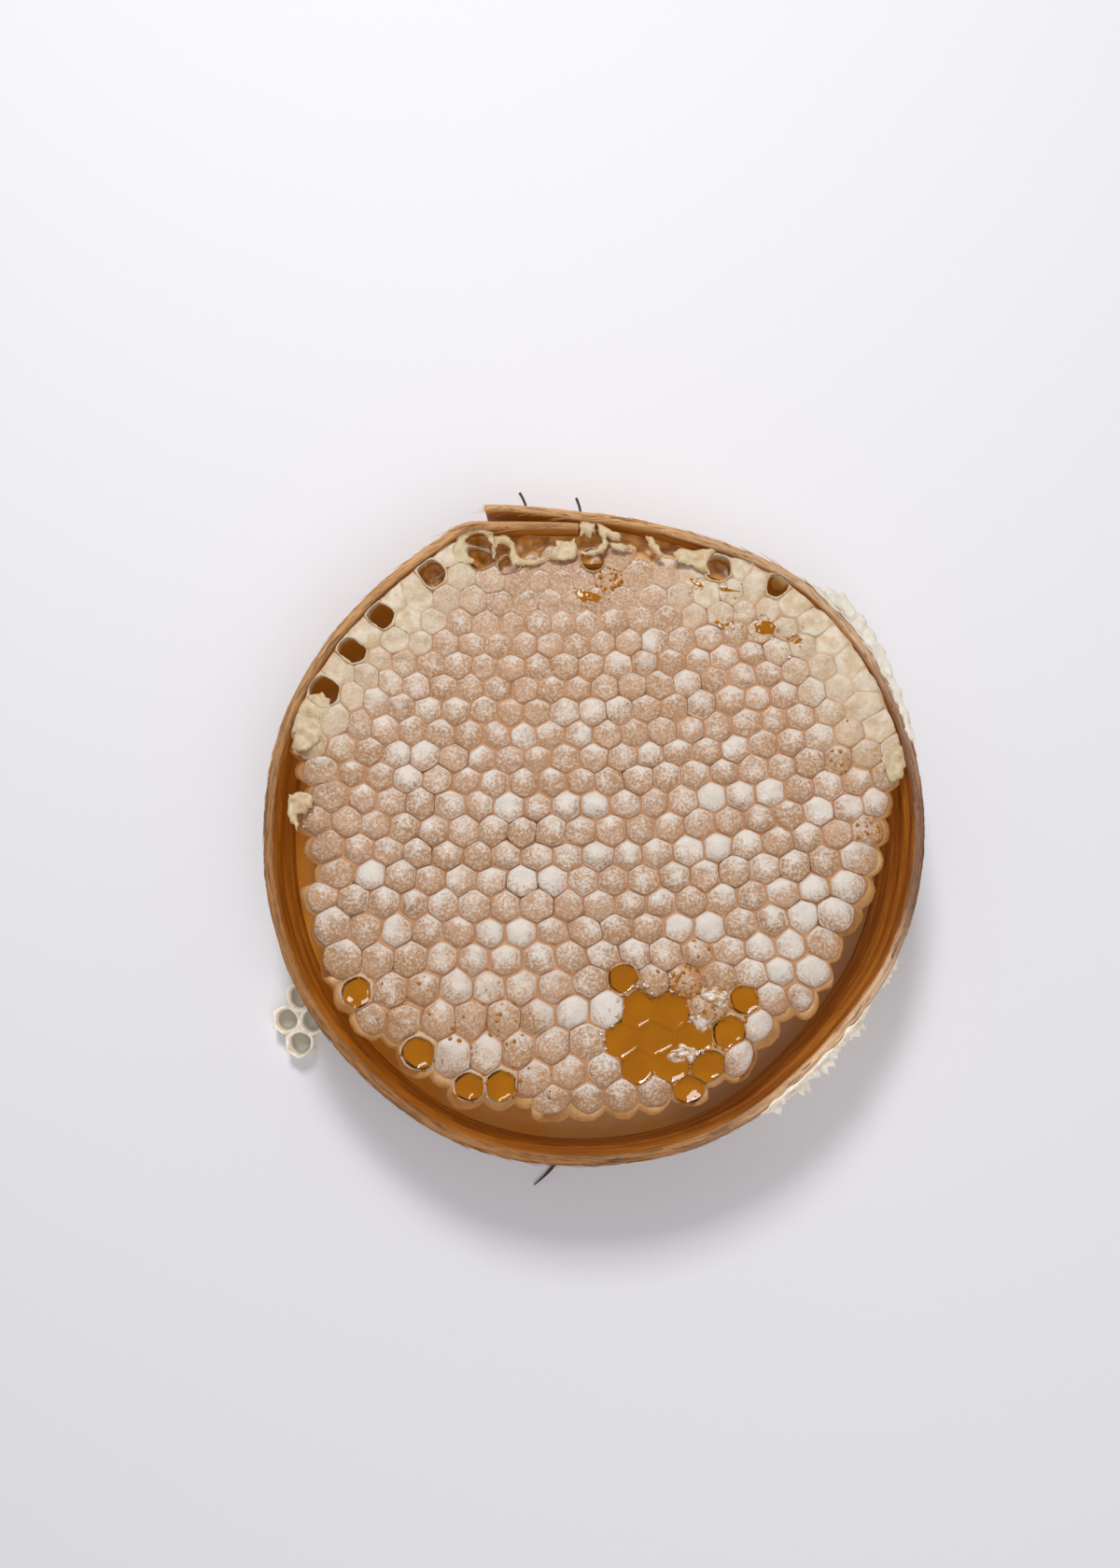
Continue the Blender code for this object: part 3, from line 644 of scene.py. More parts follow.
hoop = {
    "meanRadius": 75,  # turns an angle into a length along the strip, mm
    "wallRows": (0.15, 1.5, 6, 11, 16, 20, 24, 26.6),  # heights of the section's points
    "height": 28.0,
    "thickness": 2.3,
    "endThinning": 0.4,
    "endArc": 18,
    "outerEnd": 108,
    "innerEnd": -268,
    "lean": 3.2,
    "leanAngle": -10,
    "leanSpread": 45,
    "step": 1.25,
    # outer radius by angle, from the strip's outer end round to its inner end
    "shape": (
        (108, 79.4), (100, 76.2), (93, 74.0), (86, 72.9), (78, 72.3), (68, 72.5), (58, 73.8), (48, 75.3),
        (36, 75.7), (24, 75.8), (8, 75.6), (-8, 75.4), (-25, 74.8), (-38, 73.6), (-50, 73.5), (-62, 74.5),
        (-75, 75.2), (-90, 75.5), (-115, 76.7), (-132, 76.1), (-150, 76.1), (-180, 74.9), (-200, 75.1),
        (-225, 74.7), (-240, 75.6), (-248, 76.9), (-252, 75.2), (-256, 73.6), (-262, 72.0), (-268, 71.0),
    ),
    # how pale the rim is, round the unwound strip: mostly the wood's own tone, but low from about 18 to -12
    # degrees as painted shade, where the rim stands in shadow at the right
    "palenessAndShade": (
        (108, 0.95), (60, 0.85), (35, 0.7), (18, 0.25), (-12, 0.05), (-22, 0.6), (-35, 0.9), (-56, 0.9),
        (-68, 0.3), (-110, 0.1), (-150, 0.1), (-180, 0.3), (-215, 0.65), (-250, 0.8), (-268, 0.55),
    ),
}


def readTable(table, angle):
    rows = sorted(table)
    angles = [row[0] for row in rows]
    values = [row[1] for row in rows]
    last = len(rows) - 1
    k = min(max(int(np.searchsorted(angles, angle)) - 1, 0), last - 1)

    def slope(i):
        low, high = max(i - 1, 0), min(i + 1, last)
        return (values[high] - values[low]) / (angles[high] - angles[low])

    width = angles[k + 1] - angles[k]
    t = min(max((angle - angles[k]) / width, 0.0), 1.0)
    start = values[k] * (1 + 2 * t) + slope(k) * width * t
    end = values[k + 1] * (3 - 2 * t) - slope(k + 1) * width * (1 - t)
    return start * (1 - t) ** 2 + end * t**2


def wrapped(degrees):
    return (degrees + 180) % 360 - 180


def wallLean(degrees, z):
    away = wrapped(degrees - hoop["leanAngle"]) / hoop["leanSpread"]
    return hoop["lean"] * math.exp(-away * away) * (1 - z / hoop["height"])


def stripThickness(unwound):
    toEnd = min(hoop["outerEnd"] - unwound, unwound - hoop["innerEnd"])
    return hoop["thickness"] - hoop["endThinning"] * (1 - smoothStep(0, hoop["endArc"], toEnd))


def innerWall(degrees, z):
    angle = wrapped(degrees)
    unwound = angle - 360 if angle - 360 >= hoop["innerEnd"] else angle
    return readTable(hoop["shape"], unwound) - wallLean(degrees, z) - stripThickness(unwound)


def outerWall(degrees, z):
    angle = wrapped(degrees)
    unwound = angle if angle <= hoop["outerEnd"] else angle - 360
    return readTable(hoop["shape"], unwound) - wallLean(degrees, z)


def polar(radius, degrees, z):
    turn = math.radians(degrees)
    return (radius * math.cos(turn), radius * math.sin(turn), z)


def direction(x, y):
    return math.degrees(math.atan2(y, x))


def buildHoop():
    # one strip, its section swept round; the rim is worn and a little frayed
    verts, grains, pales, insides, runs, frayed, faces = [], [], [], [], [], [], []
    count = int((hoop["outerEnd"] - hoop["innerEnd"]) / hoop["step"]) + 1
    rings = []
    for i in range(count):
        unwound = hoop["outerEnd"] + (hoop["innerEnd"] - hoop["outerEnd"]) * i / (count - 1)
        rim = readTable(hoop["shape"], unwound)
        thick = stripThickness(unwound)
        along = math.radians(unwound) * hoop["meanRadius"]
        endFray = smoothStep(4, 0, min(i, count - 1 - i)) * 0.4
        top = hoop["height"] + 0.25 * math.sin(3 * math.radians(unwound) + 0.6)
        top += 0.22 * lump(along, 0, 2.6, 3) + 0.16 * lump(along, 0, 0.9, 7) - 0.1 - endFray * abs(
            lump(along, 0, 0.7, 2)
        )
        ring = []
        pale = readTable(hoop["palenessAndShade"], unwound)
        # depth into the strip, height, and how far it counts as the inside: up, over the rim and down
        section = [(0, z, 0) for z in hoop["wallRows"]]
        section += [
            (0.12, top - 0.45, 0), (0.5, top - 0.08, 0.0), (thick * 0.35, top, 0.0),
            (thick * 0.65, top - 0.05, 0.0), (thick - 0.4, top - 0.1, 0.0), (thick - 0.1, top - 0.4, 0.2),
        ]
        section += [(thick, z, 1) for z in reversed(hoop["wallRows"])]
        for inwards, z, inside in section:
            rough = 0.10 * lump(along * 0.25, z * 2.2, 1.2, inwards) + 0.08 * lump(along, z, 5, 11)
            if inside == 0 and inwards > 0:
                rough *= 0.5
            lean = wallLean(unwound, z)
            radius = rim - inwards - lean + (-abs(rough) if inwards < thick / 2 else abs(rough) * 0.3)
            ring.append(len(verts))
            verts.append(polar(radius, unwound, z))
            grains.append((along, z, inwards))
            pales.append(pale)
            insides.append(inside)
            runs.append((-math.sin(math.radians(unwound)), math.cos(math.radians(unwound)), 0.0))
            frayed.append(1.0 if z > 26 and inside < 0.4 else 0.12 * (inside == 0))
        rings.append(ring)
    size = len(rings[0])
    for first, second in zip(rings, rings[1:]):
        for i in range(size):
            j = (i + 1) % size
            faces.append((first[i], first[j], second[j], second[i]))
    faces.append(tuple(rings[0]))
    faces.append(tuple(reversed(rings[-1])))
    attributes = {
        "grain": ("FLOAT_VECTOR", "POINT", grains),
        "pale": ("FLOAT", "POINT", pales),
        "inside": ("FLOAT", "POINT", insides),
        "run": ("FLOAT_VECTOR", "POINT", runs),
        "frayed": ("FLOAT", "POINT", frayed),
    }
    piece = makePiece("hoopWood", verts, faces, woodMaterial, "bent_wood", attributes)
    pointOutwards(piece)
    piece.data.set_sharp_from_angle(angle=math.radians(60))
    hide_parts("hoop")
    print("hoop", len(faces), "faces")
    return piece


hoopPiece = buildHoop()


# the comb's cells, on the same pattern as the frame's

cells = {
    # the rows are arcs round a far point, so they fan; jitter moves each centre, and give is how far
    # round a placed cell the pattern is drawn along with it
    "fanRadius": 463, "fanX": -10, "width": 6.75, "rowSpacing": 0.845,
    "firstRow": -16, "lastRow": 14, "lastColumn": 15, "rowShift": -0.9, "columnShift": 0.15,
    "jitter": 0.28, "give": 9, "seed": 7,
    # levels and allowances in mm; attached is where the comb runs up to the hoop, in degrees
    "grooveLevel": 25.7, "rimLift": 1.3, "footLevel": 1.7, "droop": 1.5,
    "waistBulge": 2.7, "footTuck": 0.6, "evening": 0.35, "notch": 0.7, "gap": 0.3,
    "attached": ((14, 66), (113, 163)),
    # the free edge's radius by angle
    "shape": (
        (-197, 72.3), (-191, 68.0), (-183, 66.6), (-172, 64.9), (-163, 67.5), (-143, 69.2), (-130, 67.6),
        (-114, 67.0), (-101, 63.8), (-88, 63.4), (-74, 64.2), (-60, 63.8), (-49, 60.6), (-34, 64.3),
        (-25, 62.4), (-8, 66.0), (4, 67.8), (14, 72.0), (66, 69.0), (74, 66.2), (90, 65.4), (97, 66.4),
        (104, 64.8), (113, 68.0), (163, 72.3),
    ),
    # where the open cells are, the ones with honey in them and the torn patch
    "empty": (
        (-25.4, 64.2), (-18.6, 62.4), (-36.4, 58.8), (-47.6, 48.6), (-54.3, 40.6), (-60.2, 32.4),
        (0.2, 62.6), (30.0, 59.6), (42.6, 54.6),
    ),
    "honey": (
        (-52.9, -38.0), (-39.0, -50.6), (-27.6, -58.6), (-20.7, -58.6), (21.2, -58.7), (7.9, -34.1),
        (34.5, -38.6), (31.8, -46.3), (26.3, -54.5),
    ),
    "capped": ((37.9, -45.3), (32.5, -52.7)),  # capped cells that the pattern is drawn to as well
    "pool": (14.5, -45.5), "poolRadius": 9.6, "poolSink": 1.0,
    "edgeCuts": 3,  # points along each side of a cell
    "capSeed": 11,
    # pale thick wax round some places: middle, where it starts and is full, and how strong it is
    "creamy": (((30, 57), 16, 2, 1.0), ((-44, 50), 14, 4, 1.0), ((55, 44), 12, 4, 0.8)),
    "levels": ("top", 0.12, 0.3, 0.5, 0.7, 0.88, "foot"),  # down the edge, as shares of its height
    "rounding": 0.6,  # how far a side of an edge cell swells outwards, mm
    # chalky caps come singly and in short runs along a row: the chances that a run starts and goes on
    "chalkStart": 0.17, "chalkGoesOn": 0.45,
}


def drawPattern(centres, cell, place):
    fromX, fromY = centres[cell]
    for key, (x, y) in centres.items():
        pull = math.exp(-((x - fromX) ** 2 + (y - fromY) ** 2) / cells["give"] ** 2)
        centres[key] = (x + (place[0] - fromX) * pull, y + (place[1] - fromY) * pull)


def cellCentres():
    rng = np.random.default_rng(cells["seed"])
    step = cells["width"] / cells["fanRadius"]
    centres = {}
    for row in range(cells["firstRow"], cells["lastRow"] + 1):
        radius = cells["fanRadius"] * (1 + cells["rowSpacing"] * step) ** row
        for column in range(-cells["lastColumn"], cells["lastColumn"] + 1):
            turn = step * (column + 0.5 * (row % 2) + cells["columnShift"])
            nudge = rng.normal(0, cells["jitter"] * mm, 2) / mm
            x = cells["fanX"] + radius * math.sin(turn) + nudge[0]
            y = cells["rowShift"] + cells["fanRadius"] - radius * math.cos(turn) + nudge[1]
            centres[row, column] = (x, y)
    placed = {}
    kinds = ("empty", "honey", "capped")
    for kind in kinds:
        for place in cells[kind]:
            nearest = min(
                (key for key in centres if key not in placed),
                key=lambda key: math.dist(centres[key], place),
            )
            placed[nearest] = kind
            drawPattern(centres, nearest, place)
    for place, cell in zip([place for kind in kinds for place in cells[kind]], placed):
        drawPattern(centres, cell, place)
    return centres, {cell: kind for cell, kind in placed.items() if kind != "capped"}


def neighbours(cell):
    row, column = cell
    side = row % 2
    return (
        (row, column + 1), (row - 1, column + side), (row - 1, column + side - 1),
        (row, column - 1), (row + 1, column + side - 1), (row + 1, column + side),
    )


def isAttached(degrees):
    return any(low <= degrees <= high for low, high in cells["attached"])


def edgeRadius(degrees, z):
    wall = innerWall(degrees, z) - cells["gap"]
    if isAttached(degrees):
        return wall
    return min(readTable(cells["shape"], degrees if degrees <= 163 else degrees - 360), wall)


def nearRim(angle, radius):
    near = 0.0
    for low, high in cells["attached"]:
        near = max(near, smoothStep(-8, 8, min(angle - low, high - angle)))
    return near * smoothStep(52, 72, radius)


def chooseCells(centres, opened):
    kept = set()
    for key, (x, y) in centres.items():
        if math.hypot(x, y) < edgeRadius(direction(x, y), cells["grooveLevel"]) - 0.15 * cells["width"]:
            kept.add(key)
    for key in list(kept):
        if sum(other in kept for other in neighbours(key)) < 2:
            kept.discard(key)
    kept.update(opened)
    return kept


def cornerKeys(cell):
    around = neighbours(cell)
    return [frozenset((cell, around[i], around[(i + 1) % 6])) for i in range(6)]


def cornerPlaces(centres, kept, pool):
    places, border = {}, {}
    for cell in sorted(kept):
        for key in cornerKeys(cell):
            if key in places:
                continue
            x = sum(centres[c][0] for c in key) / 3
            y = sum(centres[c][1] for c in key) / 3
            inside = sum(c in kept for c in key)
            angle = direction(x, y)
            limit = edgeRadius(angle, cells["grooveLevel"])
            radius = min(math.hypot(x, y), limit - cells["notch"])
            if inside < 3:
                border[key] = isAttached(angle)
                if border[key]:
                    radius = limit
                else:
                    notch = cells["notch"] if inside == 2 else -0.5 * cells["notch"]
                    radius = limit + cells["evening"] * (math.hypot(x, y) - limit) - notch
                    radius = min(radius, innerWall(angle, cells["grooveLevel"]) - cells["gap"])
            free = key in border and not border[key]
            z = cells["grooveLevel"] + cells["rimLift"] * nearRim(angle, radius)
            z -= cells["droop"] if free else 0
            if all(c in pool for c in key):
                z -= cells["poolSink"]
            places[key] = (angle, radius, z)
    return places, border


centres, opened = cellCentres()
kept = chooseCells(centres, opened)
pool = [
    c for c in sorted(kept)
    if c not in opened and math.dist(centres[c], cells["pool"]) < cells["poolRadius"]
]
corners, border = cornerPlaces(centres, kept, pool)
print("pattern laid out", len(kept), "cells,", len(pool), "torn")


def combBase():
    # flat cells on both faces and the walls between them, each cell outlined by a ring of points
    verts, faces = [], []
    fields = (
        "kind", "cellCentre", "cellSize", "dome", "tilt", "relief", "white", "chalkSpot", "cream", "tone",
        "wet", "side", "film", "girth",
    )
    vectors = ("cellCentre", "tilt", "chalkSpot")
    face = {key: [] for key in fields}
    cuts = cells["edgeCuts"]
    rng = np.random.default_rng(cells["capSeed"])
    made = {}

    def cornerAt(key, level):
        angle, radius, top = corners[key]
        free = key in border and not border[key]
        if level == "top":
            return polar(radius, angle, top)
        foot = min(
            radius - (cells["footTuck"] if free else 0),
            innerWall(angle, cells["footLevel"]) - cells["gap"],
        )
        if level == "foot":
            return polar(foot, angle, cells["footLevel"])
        z = top + (cells["footLevel"] - top) * level
        bulge = cells["waistBulge"] * math.sin(math.pi * math.sqrt(level)) if free else 0
        x, y, _ = polar(radius, angle, 0)
        bulge *= 0.85 + 0.7 * lump(x, y, 13, 4)
        out = radius + (foot - radius) * level + bulge
        return polar(min(out, innerWall(angle, z) - cells["gap"]), angle, z)

    def edgePoints(a, b, level):
        # point numbers from corner a up to, not including, corner b
        points = []
        forwards = str(sorted(a)) <= str(sorted(b))
        for i in range(cuts):
            # a point between two corners has one number, from whichever side it is counted
            name = (a, level) if i == 0 else (frozenset((a, b)), level, i if forwards else cuts - i)
            if name not in made:
                pa, pb = Vector(cornerAt(a, level)), Vector(cornerAt(b, level))
                place = pa.lerp(pb, i / cuts)
                onEdge = a in border and b in border and len(a & b & kept) == 1
                if onEdge and not (border[a] or border[b]):
                    outwards = Vector((place.x, place.y, 0)).normalized()
                    place += outwards * cells["rounding"] * math.sin(math.pi * i / cuts)
                if onEdge:
                    reach = innerWall(direction(place.x, place.y), place.z) - cells["gap"]
                    length = math.hypot(place.x, place.y)
                    if length > reach:
                        place.x, place.y = place.x * reach / length, place.y * reach / length
                made[name] = len(verts)
                verts.append(tuple(place))
            points.append(made[name])
        return points

    def addFace(points, **values):
        faces.append(points)
        for key in face:
            usual = (0, 0, 0) if key in vectors else key == "girth"
            face[key].append(values.get(key, usual))

    chalky = set()
    for cell in sorted(kept):
        keys = cornerKeys(cell)
        around = neighbours(cell)
        x, y = centres[cell]
        angle, radius = direction(x, y), math.hypot(x, y)
        white = 0.12 + 0.36 * rng.random()
        beside = (cell[0], cell[1] - 1) in chalky
        if rng.random() < cells["chalkGoesOn" if beside else "chalkStart"]:
            chalky.add(cell)
            white = 0.6 + 0.35 * rng.random()
        cream = nearRim(angle, radius)
        for middle, start, full, strength in cells["creamy"]:
            cream = max(cream, strength * smoothStep(start, full, math.dist((x, y), middle)))
        # honey has wetted the caps round the torn patch, at one cell near the top and down the right edge
        wet = smoothStep(16, 8, math.dist((x, y), (20, -40))) * (0.3 + 0.7 * rng.random())
        rightEdge = 0.5 * smoothStep(6, 3, abs(x - 60)) * smoothStep(28, 20, y) * smoothStep(-14, -6, y)
        wet = max(wet, 0.8 * smoothStep(6, 2, math.dist((x, y), (5, 57))), rightEdge * rng.random())
        relief = (0.45 + 0.55 * smoothStep(45, -5, y)) * (0.85 + 0.3 * rng.random())
        # along the top the caps have run together into one sheet
        topEdge = y + 3 * lump(x, y, 9, 2)
        sheet = smoothStep(44, 52, topEdge) * smoothStep(-34, -24, x) * smoothStep(28, 18, x)
        sheet = max(sheet, 0.8 * cream)
        relief *= 1 - 0.85 * sheet
        white *= 1 - 0.85 * sheet * (1 - cream) - 0.26 * smoothStep(0, 32, y) * (1 - cream)
        white -= 0.3 * smoothStep(-50, -60, x) * smoothStep(15, 0, y)
        lowerLeft = 0.3 * smoothStep(-20, -34, x + 0.4 * y) * smoothStep(-16, -40, y)
        wet = max(wet, lowerLeft, 0.16 * smoothStep(8, 32, y) * (1 - cream))
        frontEdge = (0.15 + 0.35 * lump(x, y, 9, 12)) * smoothStep(54, 61, radius) * smoothStep(-25, -45, y)
        wet = max(wet, frontEdge)
        # 1 capped, 2 empty, 3 open with honey in it, 4 torn, 7 a wide open cell of honey; 5 and 6 are below
        kind = {"empty": 2, "honey": 3}.get(opened.get(cell), 1)
        if kind == 3 and x > 0:
            kind, white, cream, wet = 7, 0.0, 0.3, 0.85
        elif kind == 3:
            white, cream, wet = 0.1, 0.8, 0.4
        if cell in pool:
            kind, wet = 4, 1.0
        values = {
            "kind": kind,
            "dome": float(np.clip(rng.normal(0.6, 0.45), -0.5, 1.4)),
            "relief": relief,
            "tilt": (rng.normal(0, 0.035), rng.normal(0, 0.035), 0),
            "white": white * (1 - 0.8 * wet),
            "chalkSpot": (rng.normal(0, 0.2), rng.normal(0.28, 0.18), 0),
            "cream": cream,
            "film": sheet,
            "girth": float(np.clip(rng.normal(0.99, 0.04), 0.88, 1.05)) if kind == 1 else 1.0,
            "tone": rng.random(),
            "wet": wet,
        }
        for level, sign in (("top", 1), ("foot", -1)):
            ring = []
            for i in range(6):
                ring += edgePoints(keys[i], keys[(i + 1) % 6], level)
            spots = [Vector(verts[p]) for p in ring]
            middle = sum(spots, Vector()) / len(spots)
            size = sum((s - middle).to_2d().length for s in spots) / len(spots)
            shared = dict(values, cellCentre=tuple((middle + hoopCentre) * mm), cellSize=size * mm)
            if sign < 0:
                shared.update(kind=5, white=0.2 + 0.5 * rng.random() ** 2, cream=0, wet=0)
            addFace(ring if sign > 0 else ring[::-1], **shared)
        for i in range(6):
            if around[i] in kept:
                continue
            a, b = keys[i - 1], keys[i]
            rows = []
            for level in cells["levels"]:
                row = edgePoints(a, b, level)
                row.append(edgePoints(b, a, level)[0])
                rows.append(row)
            for upper, lower in zip(rows, rows[1:]):
                for j in range(cuts):
                    quad = (upper[j + 1], upper[j], lower[j], lower[j + 1])
                    addFace(quad, side=1, cream=0.0, wet=0.3, tone=rng.random())
    kinds = {
        "cellCentre": "FLOAT_VECTOR", "tilt": "FLOAT_VECTOR", "chalkSpot": "FLOAT_VECTOR", "kind": "INT",
    }
    attributes = {key: (kinds.get(key, "FLOAT"), "FACE", face[key]) for key in face}
    return makePiece("combWax", verts, faces, waxMaterial, None, attributes)


def capRingGroup():
    # one ring of a cell: extrudes the marked cell tops and sets them at a share of the cell's width
    sockets = [("Top", "NodeSocketBool")]
    for label in ("Spread", "Height", "Dome", "Roundness", "Relief", "Rise"):
        sockets.append((label, "NodeSocketFloat"))
    tree = makeTree("capRing", sockets)
    tree.interface.new_socket("Top", in_out="OUTPUT", socket_type="NodeSocketBool")
    given = addNode(tree, "NodeGroupInput").outputs
    extrude = addNode(
        tree, "GeometryNodeExtrudeMesh",
        {"Mesh": given["Geometry"], "Selection": given["Top"], "Offset Scale": 0.0, "Individual": True},
    )
    stored = {
        "FLOAT_VECTOR": ("cellCentre", "edgePoint", "tilt"),
        "FLOAT": ("cellSize", "dome", "relief", "girth"),
    }
    marks = {}
    for kind, keys in stored.items():
        for key in keys:
            marks[key] = addNode(
                tree, "GeometryNodeInputNamedAttribute", {"Name": key}, data_type=kind
            ).outputs[0]
    centre, size = marks["cellCentre"], marks["cellSize"]
    local = addNode(
        tree, "ShaderNodeVectorMath", {0: marks["edgePoint"], 1: centre}, operation="SUBTRACT"
    ).outputs[0]
    flat = addNode(tree, "ShaderNodeVectorMath", {0: local, 1: (1, 1, 0)}, operation="MULTIPLY").outputs[0]
    heading = addNode(tree, "ShaderNodeVectorMath", {0: flat}, operation="NORMALIZE").outputs[0]
    circle = addNode(
        tree, "ShaderNodeVectorMath", {0: heading, "Scale": size}, operation="SCALE"
    ).outputs[0]
    outline = addNode(
        tree, "ShaderNodeMix", {"Factor": given["Roundness"], 4: flat, 5: circle}, data_type="VECTOR"
    ).outputs[1]
    share = addNode(
        tree, "ShaderNodeMath", {0: given["Spread"], 1: marks["girth"]}, operation="MULTIPLY"
    ).outputs[0]
    spread = addNode(
        tree, "ShaderNodeVectorMath", {0: outline, "Scale": share}, operation="SCALE"
    ).outputs[0]
    localZ = addNode(tree, "ShaderNodeSeparateXYZ", {0: local}).outputs[2]
    slopeZ = addNode(
        tree, "ShaderNodeMath", {0: localZ, 1: given["Spread"]}, operation="MULTIPLY"
    ).outputs[0]
    tiltZ = addNode(
        tree, "ShaderNodeVectorMath", {0: spread, 1: marks["tilt"]}, operation="DOT_PRODUCT"
    ).outputs["Value"]
    domeZ = addNode(
        tree, "ShaderNodeMath", {0: marks["dome"], 1: given["Dome"], 2: given["Height"]},
        operation="MULTIPLY_ADD",
    ).outputs[0]
    reliefUsed = addNode(
        tree, "ShaderNodeMix", {"Factor": given["Relief"], 2: 1.0, 3: marks["relief"]}, data_type="FLOAT"
    ).outputs[0]
    liftZ = addNode(
        tree, "ShaderNodeMath", {0: domeZ, 1: reliefUsed, 2: tiltZ}, operation="MULTIPLY_ADD"
    ).outputs[0]
    z = addNode(tree, "ShaderNodeMath", {0: liftZ, 1: slopeZ}, operation="ADD").outputs[0]
    lift = addNode(tree, "ShaderNodeCombineXYZ", {"Z": z}).outputs[0]
    base = addNode(tree, "ShaderNodeVectorMath", {0: centre, 1: spread}, operation="ADD").outputs[0]
    place = addNode(tree, "ShaderNodeVectorMath", {0: base, 1: lift}, operation="ADD").outputs[0]
    moved = addNode(
        tree, "GeometryNodeSetPosition",
        {"Geometry": extrude.outputs["Mesh"], "Selection": extrude.outputs["Top"], "Position": place},
    )
    rise = addNode(
        tree, "GeometryNodeStoreNamedAttribute",
        {
            "Geometry": moved.outputs[0], "Selection": extrude.outputs["Top"], "Name": "rise",
            "Value": given["Rise"],
        },
        data_type="FLOAT", domain="POINT",
    )
    unit = addNode(tree, "ShaderNodeMath", {0: 1.0, 1: size}, operation="DIVIDE").outputs[0]
    inCell = addNode(tree, "ShaderNodeVectorMath", {0: spread, "Scale": unit}, operation="SCALE").outputs[0]
    where = addNode(
        tree, "GeometryNodeStoreNamedAttribute",
        {
            "Geometry": rise.outputs[0], "Selection": extrude.outputs["Top"], "Name": "inCell",
            "Value": inCell,
        },
        data_type="FLOAT_VECTOR", domain="POINT",
    )
    addNode(tree, "NodeGroupOutput", {"Geometry": where.outputs[0], "Top": extrude.outputs["Top"]})
    return tree


capping = {
    # for each ring: share of the cell's width, height and dome in mm, roundness, how much the
    # relief of the place counts, and the height the wax's colour goes by
    1: (
        (0.97, 0.0, 0.0, 0.25, 0.0, 0.05), (0.91, 0.42, 0.0, 0.4, 1.0, 0.5),
        (0.84, 0.72, 0.0, 0.5, 1.0, 0.85), (0.69, 0.84, 0.12, 0.4, 1.0, 1.0),
        (0.45, 0.9, 0.3, 0.3, 1.0, 1.0), (0.2, 0.92, 0.45, 0.2, 1.0, 1.0),
    ),
    2: (
        (1.0, 0.25, 0.0, 0.3, 0.0, 0.6), (0.97, 0.5, 0.0, 0.55, 0.0, 1.0),
        (0.91, 0.5, 0.0, 0.7, 0.0, 1.0), (0.87, 0.1, 0.0, 0.8, 0.0, 0.3),
        (0.84, -2.5, 0.0, 0.85, 0.0, -0.5), (0.82, -6.0, 0.0, 0.7, 0.0, -0.8),
        (0.6, -9.0, 0.0, 0.6, 0.0, -1.0),
    ),
    3: (
        (0.99, 0.15, 0.0, 0.3, 0.0, 0.5), (0.95, 0.5, 0.0, 0.5, 0.0, 0.9),
        (0.87, 0.55, 0.0, 0.7, 0.0, 1.0), (0.82, 0.1, 0.0, 0.75, 0.0, 0.8),
        (0.8, -1.2, 0.0, 0.7, 0.0, 0.0), (0.7, -3.8, 0.0, 0.6, 0.0, -1.0),
    ),
    4: (
        (0.95, -0.05, 0.0, 0.0, 0.0, 0.0), (0.92, -0.8, 0.0, 0.2, 0.0, -0.3),
        (0.86, -2.0, 0.0, 0.4, 0.0, -0.8), (0.5, -2.6, 0.0, 0.4, 0.0, -1.0),
    ),
    7: (
        (0.99, 0.0, 0.0, 0.3, 0.0, 0.4), (0.96, 0.2, 0.0, 0.5, 0.0, 0.9), (0.92, 0.2, 0.0, 0.6, 0.0, 1.0),
        (0.89, -0.1, 0.0, 0.7, 0.0, 0.6), (0.87, -1.6, 0.0, 0.7, 0.0, 0.0),
        (0.7, -3.8, 0.0, 0.6, 0.0, -1.0),
    ),
    5: ((0.88, -0.05, 0.0, 0.4, 0.0, 0.2), (0.6, -0.55, 0.0, 0.4, 0.0, 1.0)),
    6: (
        (1.0, 0.0, 0.0, 0.2, 0.0, 0.7), (0.96, 0.12, 0.0, 0.4, 0.0, 1.0), (0.8, 0.12, 0.0, 0.7, 0.0, 1.0),
        (0.76, -0.3, 0.0, 0.8, 0.0, 0.4), (0.74, -2.2, 0.0, 0.8, 0.0, -0.4),
        (0.68, -3.3, 0.0, 0.7, 0.0, -0.8), (0.3, -3.5, 0.0, 0.7, 0.0, -1.0),
    ),
}
# how uneven the wax is: the depth and the width of each kind of lump, mm
unevenness = {
    "Ripple": 0.3, "Ripple Size": 1.2, "Drift": 1.5, "Drift Size": 4.5, "Swell": 0.6, "Swell Size": 16.0,
}


